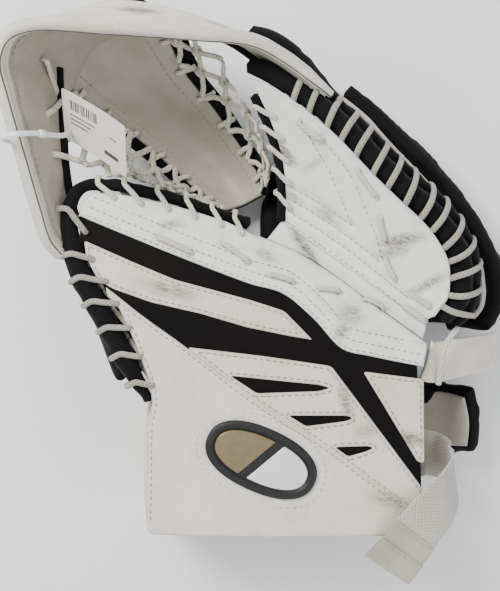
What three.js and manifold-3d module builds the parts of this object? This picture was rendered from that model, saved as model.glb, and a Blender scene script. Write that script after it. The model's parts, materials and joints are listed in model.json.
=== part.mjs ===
// A left-hand ice hockey goalie catch glove, lying palm up on the backs of its pads.
// Millimetres. While it is modelled, +X runs from the thumb side to the finger side, +Y from the wrist to the
// pocket and +Z out of the palm; at the end the group moves so that its origin is under the middle of its box.
import * as THREE from "three";
import { mergeVertices } from "three/addons/utils/BufferGeometryUtils.js";
import Module from "manifold-3d";

// ---- Driving dimensions ----
const CUFF_WIDTH = 203; // the rule book's 8 in limit
const CUFF_BOTTOM_Y = -173;
const PALM_HEIGHT = 97; // top of the thumb and cuff panels above the table
const SKIN = 2.4; // synthetic leather with its backing
const FOAM = 11;
const BOARD = 3;
const LINING = 2;
const GAP = 0.4; // between touching pieces
const LACE_RADIUS = 2;
const EDGE_ROLL_RADIUS = 8; // padded black roll round the rim
const POCKET_ROLL_RADIUS = 4.6;
const BAND_THICKNESS = 7;
const LIP_RADIUS = 4.4;
const WEBBING_WIDTH = 35;
const CUFF_LEFT_X = -75;
const CUFF_RIGHT_X = CUFF_LEFT_X + CUFF_WIDTH;
const LACE_INSET = 8.6; // a laced panel stops this far short of its roll, so that the lace passes between them
const CORE_INSET = 21; // the padding stops short of the rolled rim

// ---- Break line: the crease that the glove folds on ----
const CROTCH = [20, 52, 57]; // at the bottom of the pocket
const HEEL = [134, -33, 83]; // at the outer edge of the palm

// ---- Materials ----
const material = (color, roughness, metalness = 0) =>
  new THREE.MeshStandardMaterial({ color, roughness, metalness });
const whiteLeather = material(0xe6e4dc, 0.55);
const shadedLeather = material(0xd8d4c8, 0.6);
const blackLeather = material(0x17130f, 0.5);
const blackNylon = material(0x0d0e10, 0.75);
const foamMaterial = material(0x8f9296, 0.95);
const plasticBoard = material(0x3a3d40, 0.5);
const liningMaterial = material(0xb9b4a6, 0.9);
const laceMaterial = material(0xb5b0a2, 0.85);
const netMaterial = material(0xcfc7ab, 0.8);
const webbingMaterial = material(0xcfcabb, 0.85);
const badgeBlack = material(0x101010, 0.35);
const badgeGold = material(0x5c4a2a, 0.4, 0.3);
const paper = material(0xe9e4dc, 0.8);
const nylonTie = material(0xeef1f3, 0.4);

const glove = new THREE.Group();
const vector = (p) => new THREE.Vector3(...p);
const clamp01 = (t) => Math.min(1, Math.max(0, t));
const smooth = (t) => clamp01(t) ** 2 * (3 - 2 * clamp01(t));
const mix = (a, b, t) => a + (b - a) * t;

function add(name, geometry, meshMaterial) {
  const mesh = new THREE.Mesh(geometry, meshMaterial);
  mesh.name = name;
  glove.add(mesh);
}

// ---- Shape tools ----
function curveOf(points) {
  const curve = new THREE.CatmullRomCurve3(points.map(vector), false, "centripetal");
  return (t) => curve.getPointAt(clamp01(t));
}

// A surface through a list of rails: u runs along each rail, v from the first rail to the last.
function loft(rails) {
  const curves = rails.map(curveOf);
  return (u, v) => {
    const across = curves.map((rail) => rail(u));
    if (across.length === 2) return across[0].lerp(across[1], v);
    return new THREE.CatmullRomCurve3(across, false, "centripetal").getPoint(clamp01(v));
  };
}

// Joins two grids of points, [column][row], into one closed solid with its faces pointing out.
function closedGrid(front, back) {
  const columns = front.length;
  const rows = front[0].length;
  const position = [];
  [front, back].forEach((grid) => grid.forEach((column) => column.forEach((p) => position.push(p.x, p.y, p.z))));
  const index = [];
  const quad = (a, b, c, d) => index.push(a, b, c, a, c, d);
  const f = (i, j) => i * rows + j;
  const k = (i, j) => columns * rows + i * rows + j;
  for (let i = 0; i < columns - 1; i++) {
    for (let j = 0; j < rows - 1; j++) {
      quad(f(i, j), f(i + 1, j), f(i + 1, j + 1), f(i, j + 1));
      quad(k(i, j), k(i, j + 1), k(i + 1, j + 1), k(i + 1, j));
    }
    quad(f(i, 0), k(i, 0), k(i + 1, 0), f(i + 1, 0));
    quad(f(i, rows - 1), f(i + 1, rows - 1), k(i + 1, rows - 1), k(i, rows - 1));
  }
  for (let j = 0; j < rows - 1; j++) {
    quad(f(0, j), f(0, j + 1), k(0, j + 1), k(0, j));
    quad(f(columns - 1, j), k(columns - 1, j), k(columns - 1, j + 1), f(columns - 1, j + 1));
  }
  return facingOut(position, index);
}

// A closed body's geometry, turned inside out first if its volume is negative.
function facingOut(position, index) {
  let volume = 0;
  const corner = (n) => vector(position.slice(3 * n, 3 * n + 3));
  for (let n = 0; n < index.length; n += 3) {
    volume += corner(index[n]).dot(corner(index[n + 1]).cross(corner(index[n + 2])));
  }
  if (volume < 0) index.reverse();
  const geometry = new THREE.BufferGeometry();
  geometry.setAttribute("position", new THREE.Float32BufferAttribute(position, 3));
  geometry.setIndex(index);
  return geometry;
}

// The point at a depth behind a surface, whose front is the side that `facing` looks from.
function behind(surface, u, v, depth, facing = [0, 0, 1]) {
  const step = 1e-3;
  const u1 = u + step > 1 ? u - step : u + step;
  const v1 = v + step > 1 ? v - step : v + step;
  const p = surface(u, v);
  const normal = surface(u1, v).sub(p).cross(surface(u, v1).sub(p)).normalize();
  if (normal.dot(vector(facing)) < 0) normal.negate();
  return p.addScaledVector(normal, -depth);
}

// A panel between two depths behind a surface.
function panel(surface, near, far, columns, rows, facing) {
  const grids = [near, far].map((depth) => {
    const grid = [];
    for (let i = 0; i <= columns; i++) {
      grid.push([]);
      for (let j = 0; j <= rows; j++) grid[i].push(behind(surface, i / columns, j / rows, depth, facing));
    }
    return grid;
  });
  return closedGrid(grids[0], grids[1]);
}

// A flat strap along a path of points; its width runs `acrossStart` at the start and turns to `acrossEnd`.
function strap(path, acrossStart, acrossEnd, width, thickness, steps) {
  const at = curveOf(path);
  const grids = [0.5, -0.5].map((side) => {
    const grid = [];
    for (let i = 0; i <= steps; i++) {
      const t = i / steps;
      const tangent = at(t + 0.004).sub(at(t - 0.004)).normalize();
      const across = vector(acrossStart).lerp(vector(acrossEnd), smooth(t));
      across.addScaledVector(tangent, -across.dot(tangent)).normalize();
      const normal = tangent.clone().cross(across);
      grid.push([-0.5, 0.5].map((edge) => {
        return at(t).addScaledVector(across, edge * width).addScaledVector(normal, side * thickness);
      }));
    }
    return grid;
  });
  return closedGrid(grids[0], grids[1]);
}

// A tube along a curve with an oval section: half-width `wide` across and `tall` up, each a function of t.
function roll(points, wide, tall = wide, steps = 30, sides = 10) {
  const at = curveOf(points);
  const width = typeof wide === "function" ? wide : () => wide;
  const height = typeof tall === "function" ? tall : () => tall;
  const position = [];
  const index = [];
  for (let i = 0; i <= steps; i++) {
    const t = i / steps;
    const tangent = at(t + 0.004).sub(at(t - 0.004)).normalize();
    const side = new THREE.Vector3(0, 0, 1).cross(tangent).normalize();
    const up = tangent.clone().cross(side);
    for (let k = 0; k < sides; k++) {
      const a = (2 * Math.PI * k) / sides;
      const p = at(t).addScaledVector(side, width(t) * Math.cos(a)).addScaledVector(up, height(t) * Math.sin(a));
      position.push(p.x, p.y, p.z);
    }
  }
  for (let i = 0; i < steps; i++) {
    for (let k = 0; k < sides; k++) {
      const a = i * sides + k;
      const b = i * sides + ((k + 1) % sides);
      index.push(a, b, b + sides, a, b + sides, a + sides);
    }
  }
  for (let k = 1; k < sides - 1; k++) {
    index.push(0, k + 1, k);
    const last = steps * sides;
    index.push(last, last + k, last + k + 1);
  }
  return facingOut(position, index);
}

// A lace wound round a roll: a helix of `turns` loops, from t0 to t1 along the roll's curve. Round two rolls,
// `half` is half the way between their centres, which lie `tilt` below the level.
function winding(points, radius, turns, t0, t1, { half = 0, tilt = 0, stepsPerTurn = 10 } = {}) {
  const at = curveOf(points);
  const steps = Math.round(turns * stepsPerTurn);
  const helix = [];
  for (let i = 0; i <= steps; i++) {
    const t = mix(t0, t1, i / steps);
    const tangent = at(t + 0.004).sub(at(t - 0.004)).normalize();
    const level = new THREE.Vector3(0, 0, 1).cross(tangent).normalize();
    const side = level.clone().applyAxisAngle(tangent, tilt);
    const up = tangent.clone().cross(side);
    const a = (2 * Math.PI * i) / stepsPerTurn;
    const reach = half * Math.max(-1, Math.min(1, 1.5 * Math.cos(a)));
    helix.push(at(t).addScaledVector(side, reach + radius * Math.cos(a)).addScaledVector(up, radius * Math.sin(a)));
  }
  return cord(helix.map((p) => p.toArray()), LACE_RADIUS, steps);
}

// The points of an edge moved `out` to its right-hand side, seen from above, and `down`.
function offsetEdge(points, out, down, count = 14) {
  const at = curveOf(points);
  return Array.from({ length: count + 1 }, (_, i) => {
    const t = i / count;
    const tangent = at(t + 0.01).sub(at(t - 0.01)).normalize();
    const p = at(t).addScaledVector(tangent.cross(new THREE.Vector3(0, 0, 1)).normalize(), -out);
    return [p.x, p.y, p.z - (typeof down === "function" ? down(t) : down)];
  });
}

// A round cord of constant radius.
function cord(points, radius, steps, sides = 5) {
  const section = new THREE.Shape();
  for (let k = 0; k < sides; k++) {
    const a = (2 * Math.PI * k) / sides;
    if (k) section.lineTo(radius * Math.cos(a), radius * Math.sin(a));
    else section.moveTo(radius, 0);
  }
  section.closePath();
  const path = new THREE.CatmullRomCurve3(points.map(vector), false, "centripetal");
  return new THREE.ExtrudeGeometry(section, { steps, extrudePath: path, bevelEnabled: false });
}

// ---- Front face of the thumb half: a height for each x and y ----
const along = new THREE.Vector2(HEEL[0] - CROTCH[0], HEEL[1] - CROTCH[1]);
const breakLength = along.length();
along.normalize();
const CREASE_WIDTH = 38; // how far the palm takes to climb out of the break

function thumbFace(x, y) {
  const dx = x - CROTCH[0];
  const dy = y - CROTCH[1];
  const t = clamp01((dx * along.x + dy * along.y) / breakLength);
  const away = Math.max(0, dx * along.y - dy * along.x);
  const crease = (PALM_HEIGHT - mix(CROTCH[2], HEEL[2], t)) * Math.exp(-away / CREASE_WIDTH);
  const crown = 7 * ((x - (CUFF_LEFT_X + CUFF_RIGHT_X) / 2) / (CUFF_WIDTH / 2)) ** 2;
  return PALM_HEIGHT - crease - crown * smooth((-20 - y) / 80);
}

// A patch of the thumb half between two edges, each a polyline of [x, y].
function thumbPatch(edgeA, edgeB) {
  const lines = [edgeA, edgeB].map((edge) => {
    const path = new THREE.CurvePath();
    edge.slice(1).forEach((p, n) => {
      path.add(new THREE.LineCurve(new THREE.Vector2(...edge[n]), new THREE.Vector2(...p)));
    });
    return path;
  });
  return (u, v) => {
    const [a, b] = lines.map((path) => path.getPointAt(clamp01(u)));
    const x = mix(a.x, b.x, v);
    const y = mix(a.y, b.y, v);
    return new THREE.Vector3(x, y, thumbFace(x, y));
  };
}

// ---- Outlines of the thumb half, seen from the palm ----
const breakSide = [[12, 40], [45, 25], [90, -8], [130, -38]];
const pocketSide = [[-116, 62], [-104, 67], [-78, 60], [-57, 57], [-39, 52], [-24, 48], [2, 42]];
const stripeTop = [[-114, 50], [-106, 49], [-80, 38], [-48, 25], [0, 8], [29, -1], [47, -16], [69, -39], [88, -44], [127, -52]];
const seam = [[-95, -1], [-80, -13], [-47, -37], [3, -75], [57, -110], [84, -131], [115, -154], [126, -162]];
const leftSide = [[-94, -6], [-83, -34], [-73, -62], [-70, -78], [-74, -92], [-75, -166], [-70, CUFF_BOTTOM_Y]];
const rightX = CUFF_RIGHT_X - 1;
const shifted = (edge, dx, dy) => edge.map(([x, y]) => [x + dx, y + dy]);

// ---- Thumb half: outer layers ----
const palmThumb = thumbPatch(pocketSide.concat(breakSide), stripeTop);
add("palm_thumb_skin", panel(palmThumb, 0, SKIN, 18, 6), whiteLeather);

const graphicTop = shifted(stripeTop, 0, -1);
const graphicFoot = shifted(seam, 0, 1);
const OVERLAY = 1.6; // the white panels lie on the black one
const graphicBase = thumbPatch(graphicTop, graphicFoot);
add("graphic_base_black", panel(graphicBase, OVERLAY + GAP, 2 * OVERLAY + GAP, 18, 6), blackLeather);

const upperStripe = thumbPatch(
  [[-112, 37], [-84, 23], [-54, 11], [0, -3], [25, -11], [43, -29]],
  [[-99, 5], [-71, -5], [-36, -13], [-2, -23], [30, -29], [44, -31]],
);
add("stripe_overlay_upper", panel(upperStripe, 0, OVERLAY, 12, 2), whiteLeather);

const slottedStripe = thumbPatch(
  [[-43, -38], [12, -44], [59, -51], [124, -138]],
  [[-40, -41], [4, -73], [58, -108], [124, -144]],
);
const slots = [
  [[-12, -58], [50, -64], [56, -66], [50, -69], [6, -70]],
  [[31, -87], [70, -87], [74, -89], [70, -91], [40, -93]],
  [[62, -110], [85, -109], [88, -111], [84, -113], [72, -117]],
];
const wasm = await Module();
wasm.setup();

// A geometry as a manifold-3d solid, with shared corners merged.
function solidOf(geometry) {
  geometry.deleteAttribute("normal");
  geometry.deleteAttribute("uv");
  const merged = mergeVertices(geometry, 1e-3);
  const mesh = new wasm.Mesh({
    numProp: 3,
    vertProperties: merged.attributes.position.array,
    triVerts: new Uint32Array(merged.index.array),
  });
  return new wasm.Manifold(mesh);
}

function geometryOf(solid) {
  const mesh = solid.getMesh();
  const geometry = new THREE.BufferGeometry();
  geometry.setAttribute("position", new THREE.BufferAttribute(mesh.vertProperties, 3));
  geometry.setIndex(new THREE.BufferAttribute(mesh.triVerts, 1));
  return geometry;
}

let slotted = solidOf(panel(slottedStripe, 0, OVERLAY, 10, 4));
slots.forEach((outline) => {
  const shape = new THREE.Shape(outline.map(([x, y]) => new THREE.Vector2(x, y)));
  const cutter = new THREE.ExtrudeGeometry(shape, { depth: 2 * PALM_HEIGHT, bevelEnabled: false });
  slotted = slotted.subtract(solidOf(cutter));
});
add("stripe_overlay_slotted", geometryOf(slotted), whiteLeather);

const sideStripe = thumbPatch([[82, -55], [rightX, -61]], [[122, -121], [rightX, -122]]);
add("stripe_overlay_side", panel(sideStripe, 0, OVERLAY, 4, 5), whiteLeather);

const cuffFoot = leftSide.concat([[-20, CUFF_BOTTOM_Y - 1], [60, CUFF_BOTTOM_Y - 1], [rightX, CUFF_BOTTOM_Y]]);
const cuffPatch = thumbPatch(shifted(seam, 0, -0.6), cuffFoot);
add("cuff_panel", panel(cuffPatch, 0, SKIN, 16, 6), whiteLeather);

const cuffSide = loft([
  [[-75, -88, 86], [-75.5, -130, 86], [-75, -170, 86]],
  [[-77, -86, 70], [-78, -128, 70], [-77, -171, 70]],
  [[-79, -82, 36], [-80, -126, 36], [-79, -171, 36]],
  [[-76, -80, 1], [-77, -124, 1], [-76, -171, 1]],
]);
add("cuff_side_panel", panel(cuffSide, 0, SKIN + FOAM / 2, 6, 8, [-1, 0, 0]), whiteLeather);

// ---- Thumb half: inner layers ----
const coreA = [[-108, 58], [-78, 55], [-39, 48], [2, 37], [14, 34], [45, 19], [88, -14], [120, -38], [122, -60], [122, -168]];
const coreB = [[-108, 48], [-92, 0], [-80, -34], [-69, -62], [-66, -80], [-66, -168]];
const core = thumbPatch(coreA, coreB);
const foamTop = 2 * OVERLAY + 3 * GAP;
const boardTop = foamTop + FOAM + GAP;
add("thumb_foam", panel(core, foamTop, foamTop + FOAM, 14, 6), foamMaterial);
add("cuff_board", panel(core, boardTop, boardTop + BOARD, 14, 6), plasticBoard);
const liningTop = boardTop + BOARD + GAP;
add("cuff_lining", panel(core, liningTop, liningTop + LINING, 14, 6), liningMaterial);

// ---- Badge on the cuff: a plain tilted lozenge ----
const BADGE = { x: 8, y: -118, length: 84, width: 46, tilt: -0.42, thickness: 3 };
function badgePlate(scale, thickness) {
  const shape = new THREE.Shape();
  shape.absellipse(0, 0, (BADGE.length * scale) / 2, (BADGE.width * scale) / 2, 0, 2 * Math.PI);
  return new THREE.ExtrudeGeometry(shape, { depth: thickness, bevelEnabled: false, curveSegments: 20 });
}
function placeBadge(name, scale, thickness, height, meshMaterial) {
  const geometry = badgePlate(scale, thickness);
  geometry.rotateZ(BADGE.tilt);
  geometry.translate(BADGE.x, BADGE.y, height);
  add(name, geometry, meshMaterial);
}
const badgeSeat = thumbFace(BADGE.x, BADGE.y) + 1;
placeBadge("badge_plate", 1, BADGE.thickness, badgeSeat, badgeBlack);
placeBadge("badge_inlay", 0.8, 1, badgeSeat + BADGE.thickness + GAP, badgeGold);

// ---- Thumb half: edges, back and sleeve ----
const thumbEdge = [
  [-124, 66, 88], [-127, 55, 89], [-125, 38, 90], [-118, 18, 90],
  [-108, -7, 89], [-97, -35, 88], [-87, -60, 87], [-79, -80, 85],
];
const thumbTaper = (t) => mix(5.4, EDGE_ROLL_RADIUS, smooth(t / 0.3)) * mix(1, 0.35, smooth((t - 0.72) / 0.28));
add("thumb_edge_roll", roll(thumbEdge, thumbTaper, thumbTaper, 16, 8), blackNylon);
add("thumb_edge_lace", winding(thumbEdge, EDGE_ROLL_RADIUS + LACE_RADIUS + GAP, 6, 0.24, 0.94), laceMaterial);

const thumbPocketEdge = [
  [-112, 79, 83], [-98, 79, 82], [-80, 75, 78], [-60, 71, 72], [-40, 65, 66], [-20, 59, 60], [-2, 54, 55],
];
add("thumb_pocket_roll", roll(thumbPocketEdge, POCKET_ROLL_RADIUS, POCKET_ROLL_RADIUS, 12, 8), blackNylon);
const pocketLaceRadius = POCKET_ROLL_RADIUS + LACE_RADIUS + GAP;
add("thumb_pocket_lace", winding(thumbPocketEdge, pocketLaceRadius, 6, 0.04, 0.9), laceMaterial);

const thumbBack = loft([
  [[-115, 60, 75], [-117, 22, 75], [-103, -20, 75], [-87, -62, 75]],
  [[-112, 60, 42], [-115, 22, 42], [-102, -20, 42], [-88, -62, 42]],
  [[-78, 58, 18], [-84, 22, 16], [-78, -16, 16], [-70, -60, 18]],
  [[-20, 44, 16], [-20, 14, 12], [-24, -14, 12], [-30, -58, 14]],
]);
const thumbWall = (u, v) => thumbBack(u, mix(0, 0.58, v));
const thumbFloor = (u, v) => thumbBack(u, mix(0.6, 1, v));
add("thumb_side_pad", panel(thumbWall, 0, FOAM, 6, 5, [1, 0, 0.3]), blackNylon);
add("thumb_back_pad", panel(thumbFloor, 0, FOAM, 6, 4), blackNylon);
const thumbSleeve = [[-4, -34, 52], [-34, -4, 54], [-64, 22, 56], [-86, 38, 60]];
add("thumb_sleeve", roll(thumbSleeve, (t) => mix(15, 11, t), 8, 12), liningMaterial);

// ---- Wrist: pad, keeper and straps ----
const wristPad = loft([
  [[166, -72, 46], [172, -98, 44], [170, -124, 42]],
  [[152, -68, 22], [156, -98, 20], [154, -128, 20]],
  [[104, -66, 12], [106, -98, 12], [104, -130, 12]],
  [[30, -68, 12], [30, -98, 12], [30, -130, 12]],
  [[-62, -78, 12], [-64, -104, 12], [-62, -130, 12]],
]);
add("wrist_pad", panel(wristPad, 0, FOAM, 6, 16), blackNylon);

const heelStrap = [[136, -50, 72], [150, -48, 66], [166, -46, 56], [184, -44, 44], [192, -43, 30]];
add("heel_strap", strap(heelStrap, [0.1, 1, 0], [0.1, 1, 0], 28, 2.4, 10), whiteLeather);
const heelLace = [[152, -26, 76], [143, -36, 79], [140, -50, 77], [140, -66, 73]];
add("heel_lace", cord(heelLace, LACE_RADIUS, 12), laceMaterial);

const keeper = [[96, -127, 55], [127, -127, 55]];
add("wrist_strap_keeper", strap(keeper, [0, 1, 0], [0, 1, 0], 42, 18, 2), blackNylon);
// The strap comes out from under the cuff, folds back on itself and lies over the cuff's corner.
const foldAcross = [0.15, -0.93, -0.33];
const anchorPath = [[132.5, -120.4, 53.6], [140, -122, 52], [148, -126, 54], [152, -130, 60]];
add("strap_anchor", strap(anchorPath, [0.1, -1, -0.1], foldAcross, WEBBING_WIDTH, 2.2, 8), webbingMaterial);
const tailAcross = [0.8, -0.55, -0.18];
const tailPath = [
  [152.6, -132, 62.6], [152.6, -135.6, 69.6], [148, -142, 79], [139, -151, 89], [128, -161, 95], [112.5, -180, 95],
];
add("wrist_strap", strap(tailPath, foldAcross, tailAcross, WEBBING_WIDTH, 2.2, 20), webbingMaterial);
const tab = [[111, -182.2, 94.8], [105, -190, 92.8], [99.4, -199, 87.5]];
add("strap_tab", strap(tab, tailAcross, [0.6, -0.78, -0.18], WEBBING_WIDTH + 2, 4, 4), shadedLeather);

// ---- Pocket: the stem of the T ----
const stemLeft = [[-22, 67, 30], [-40, 82, 24], [-64, 104, 20], [-91, 126, 26], [-117, 144, 40], [-138, 158, 60]];
const stemMiddle = [[-6, 72, 24], [-18, 91, 14], [-38, 115, 9], [-61, 139, 14], [-88, 163, 28], [-118, 194, 58]];
const stemRight = [[9, 79, 34], [5, 97, 28], [-11, 122, 26], [-30, 148, 32], [-50, 171, 44], [-66, 202, 66]];
const stem = loft([stemLeft, stemMiddle, stemRight]);
add("t_stem_skin", panel(stem, 0, SKIN, 12, 6), shadedLeather);
add("t_stem_board", panel(stem, SKIN + GAP, SKIN + GAP + BOARD, 12, 6), plasticBoard);
add("t_stem_back", panel(stem, SKIN + BOARD + 2 * GAP, 2 * SKIN + BOARD + 2 * GAP, 12, 6), blackNylon);

// ---- Pocket: the band from the thumb tip round the corner of the T to the finger tips ----
const bandBase = [
  [-137, 80, 74], [-139, 101, 72], [-142, 131, 70], [-146, 160, 70], [-145, 190, 70], [-127, 214, 72],
  [-99, 219, 75], [-63, 214, 78], [-17, 199, 82], [10, 181, 84], [34, 166, 86], [50, 154, 86],
];
const bandLip = [
  [-141, 42, 100], [-147, 66, 108], [-155, 101, 118], [-164, 138, 126], [-168, 160, 130], [-162, 175, 131],
  [-146, 182, 131], [-96, 181, 130], [-48, 178, 127], [0, 174, 119], [22, 169, 111], [42, 157, 104], [53, 149, 100],
];
const band = loft([bandBase, bandLip]);
const bandParts = {
  left: { from: 0, to: 0.3, inside: [1, 0, -0.3] },
  corner: { from: 0.305, to: 0.58, inside: [1, -1, 0] },
  right: { from: 0.585, to: 1, inside: [-0.3, -1, 0] },
};
const BAND_COLUMNS = 14;
Object.entries(bandParts).forEach(([part, { from, to, inside }]) => {
  const wall = (u, v) => band(mix(from, to, u), v);
  add(`t_band_${part}`, panel(wall, 0, BAND_THICKNESS, BAND_COLUMNS, 2, inside), whiteLeather);
  const lip = Array.from({ length: BAND_COLUMNS + 1 }, (_, i) => {
    const u = i / BAND_COLUMNS;
    const upwards = wall(u, 1).sub(wall(u, 0.9)).normalize();
    const seat = behind(wall, u, 1, BAND_THICKNESS / 2, inside);
    return seat.addScaledVector(upwards, LIP_RADIUS + 3 * GAP).toArray();
  });
  add(`band_lip_${part}`, roll(lip, LIP_RADIUS, LIP_RADIUS, BAND_COLUMNS, 8), whiteLeather);
});

// ---- Finger half: a palm that rises from the break to the rim ----
const breakRail = [[25, 58, 58], [60, 33, 65.5], [96, 6, 74], [128, -19, 82]];
const rim = [
  [-5, 158, 103], [12, 152, 104], [26, 143, 104], [57, 119, 104], [87, 89, 103], [103, 74, 102],
  [130, 49, 99], [144, 27, 96], [146, 12, 94], [145, 0, 92], [140, -7, 90], [135, -13, 88],
];
const breakAt = curveOf(breakRail);
const rimAt = curveOf(rim);
function fingerFace(u, v, inset = LACE_INSET) {
  const low = breakAt(u);
  const high = rimAt(u);
  const w = v * Math.max(0.5, 1 - inset / low.distanceTo(high));
  const climb = w ** mix(1.1, 1.5, clamp01(2 * u));
  const bulge = 10 * Math.sin(Math.PI * w) * (1 - u) ** 3;
  return new THREE.Vector3(mix(low.x, high.x, w) + bulge, mix(low.y, high.y, w), mix(low.z, high.z, climb));
}
const fingerSkin = (u, v) => fingerFace(mix(0.05, 1, u), v);
const fingerCore = (u, v) => fingerFace(mix(0.08, 0.97, u), mix(0.06, 1, v), CORE_INSET);
add("finger_palm_skin", panel(fingerSkin, 0, SKIN, 16, 6), whiteLeather);
let fingerDepth = SKIN + GAP;
[["finger_foam", FOAM, foamMaterial], ["finger_back_panel", SKIN, blackNylon]].forEach(([name, thickness, skinMaterial]) => {
  add(name, panel(fingerCore, fingerDepth, fingerDepth + thickness, 12, 6), skinMaterial);
  fingerDepth += thickness + GAP;
});

// ---- Finger half: rolls and laces along its edges ----
const frontRollOut = EDGE_ROLL_RADIUS + 1;
const frontRoll = offsetEdge(rim, frontRollOut, 8);
const backRollOut = frontRollOut + 10;
const backRoll = offsetEdge(rim, backRollOut, (t) => mix(31, 26, smooth(t / 0.5)));
const rollTaper = (t) => EDGE_ROLL_RADIUS * mix(0.7, 1, smooth(t / 0.08)) * mix(1, 0.6, smooth((t - 0.9) / 0.1));
add("finger_edge_roll_front", roll(frontRoll, rollTaper, rollTaper, 22, 8), blackNylon);
add("finger_edge_roll_back", roll(backRoll, rollTaper, rollTaper, 22, 8), blackNylon);

const rollCentre = offsetEdge(rim, frontRollOut + 5, (t) => mix(19.5, 17, smooth(t / 0.5)));
const rimLaceRadius = EDGE_ROLL_RADIUS + LACE_RADIUS + 1.8;
add("finger_edge_lace", winding(rollCentre, rimLaceRadius, 10, 0.34, 0.93, { half: 11.5, tilt: -1.12 }), laceMaterial);

const fingerPocketEdge = [
  [19, 66, 57], [20, 80, 64], [17, 96, 72], [12, 112, 80], [3, 130, 88], [-8, 145, 96],
];
add("finger_pocket_roll", roll(fingerPocketEdge, POCKET_ROLL_RADIUS, POCKET_ROLL_RADIUS, 10, 8), blackNylon);
add("finger_pocket_lace", winding(fingerPocketEdge, pocketLaceRadius, 5, 0.08, 0.94), laceMaterial);

// ---- Finger half: the back of the hand ----
const padOuter = [
  [73, 159, 52], [101, 140, 50], [135, 109, 48], [166, 74, 46], [190, 30, 44], [192, -8, 42], [180, -24, 40],
];
const padMiddle = [
  [60, 140, 28], [88, 118, 22], [118, 90, 18], [146, 58, 16], [168, 22, 16], [170, -8, 16], [160, -24, 16],
];
const padInner = [
  [24, 118, 20], [52, 86, 14], [82, 58, 14], [106, 30, 14], [122, 4, 14], [126, -12, 14], [126, -28, 14],
];
const backPad = loft([padOuter, padMiddle, padInner]);
add("finger_back_pad", panel(backPad, 0, FOAM + 2, 14, 6), blackNylon);
const handBack = loft([
  [[20, 110, 19], [46, 84, 14], [76, 54, 14], [100, 26, 14], [115, 2, 14], [118, -30, 14], [112, -58, 14]],
  [[9, 86, 15], [5, 62, 14], [4, 36, 14], [8, 10, 14], [10, -14, 14], [14, -36, 14], [22, -58, 14]],
]);
add("backhand_pad", panel(handBack, 0, FOAM + 2, 8, 4), blackNylon);

const SLEEVE_RADIUS = 9;
for (let finger = 0; finger < 4; finger++) {
  const u = 0.12 + 0.19 * finger;
  const depth = fingerDepth + SLEEVE_RADIUS + 1;
  const path = [0.14, 0.4, 0.6, 0.76].map((v) => behind(fingerFace, u, v, depth).toArray());
  add(`finger_sleeve_${finger + 1}`, roll(path, SLEEVE_RADIUS, SLEEVE_RADIUS, 8, 12), liningMaterial);
}

// ---- Break between the two halves ----
const gusset = loft([
  [[13, 43, 61], [46, 28, 65], [91, -5, 74], [127, -31, 82]],
  [[20, 52, 55], [53, 31, 61], [94, -1, 71], [129, -27, 79]],
  [[24, 56.5, 57], [59, 31.5, 64], [95, 4.5, 73], [128, -21.5, 81]],
]);
add("break_gusset", panel(gusset, 1, 1 + SKIN, 12, 4), shadedLeather);

// ---- Nets of the pocket ----
const NET = 2;
const netBeside = (edge, dx, dy) => edge.map(([x, y, z]) => [x + dx, y + dy, z + 2]);
const leftNet = loft([
  netBeside(stemLeft, -3, -1),
  [[-24, 64, 38], [-52, 80, 40], [-80, 96, 42], [-104, 106, 50], [-122, 124, 56], [-140, 152, 62]],
  [[-28, 70, 46], [-70, 82, 66], [-104, 90, 72], [-121, 98, 68], [-127, 122, 66], [-139, 148, 64]],
]);
add("left_net", panel(leftNet, 0, NET, 10, 5), netMaterial);
const rightNet = loft([
  netBeside(stemRight, 3, 1),
  [[12, 84, 42], [11, 106, 44], [0, 132, 50], [-18, 156, 58], [-40, 180, 62], [-64, 203, 70]],
  [[11, 84, 52], [9, 104, 66], [0, 124, 78], [-14, 148, 88], [-24, 180, 80], [-58, 204, 74]],
]);
add("right_net", panel(rightNet, 0, NET, 10, 5), netMaterial);

// ---- Laces through the palm ----
function fingerHeight(x, y) {
  let nearest = new THREE.Vector3(0, 0, 0);
  let least = Infinity;
  for (let i = 0; i <= 60; i++) {
    for (let j = 0; j <= 60; j++) {
      const p = fingerFace(i / 60, j / 60);
      const away = Math.hypot(p.x - x, p.y - y);
      if (away < least) [least, nearest] = [away, p];
    }
  }
  return nearest.z;
}
function palmLace(name, height, [x0, y0], [x1, y1]) {
  const points = [0, 0.25, 0.5, 0.75, 1].map((t) => {
    const x = mix(x0, x1, t);
    const y = mix(y0, y1, t);
    return [x, y, height(x, y) + LACE_RADIUS + 1.2];
  });
  add(name, cord(points, LACE_RADIUS, 6), laceMaterial);
}
const thumbLaces = [[[-67, 42], [-42, 32]], [[-20, 38], [-2, 26]], [[50, 8], [66, -1]]];
thumbLaces.forEach(([a, b], n) => palmLace(`palm_lace_thumb_${n + 1}`, thumbFace, a, b));
const fingerLaces = [[[35, 125], [52, 112]], [[95, 55], [99, 39]], [[100, 25], [107, 11]]];
fingerLaces.forEach(([a, b], n) => palmLace(`palm_lace_finger_${n + 1}`, fingerHeight, a, b));

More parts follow.
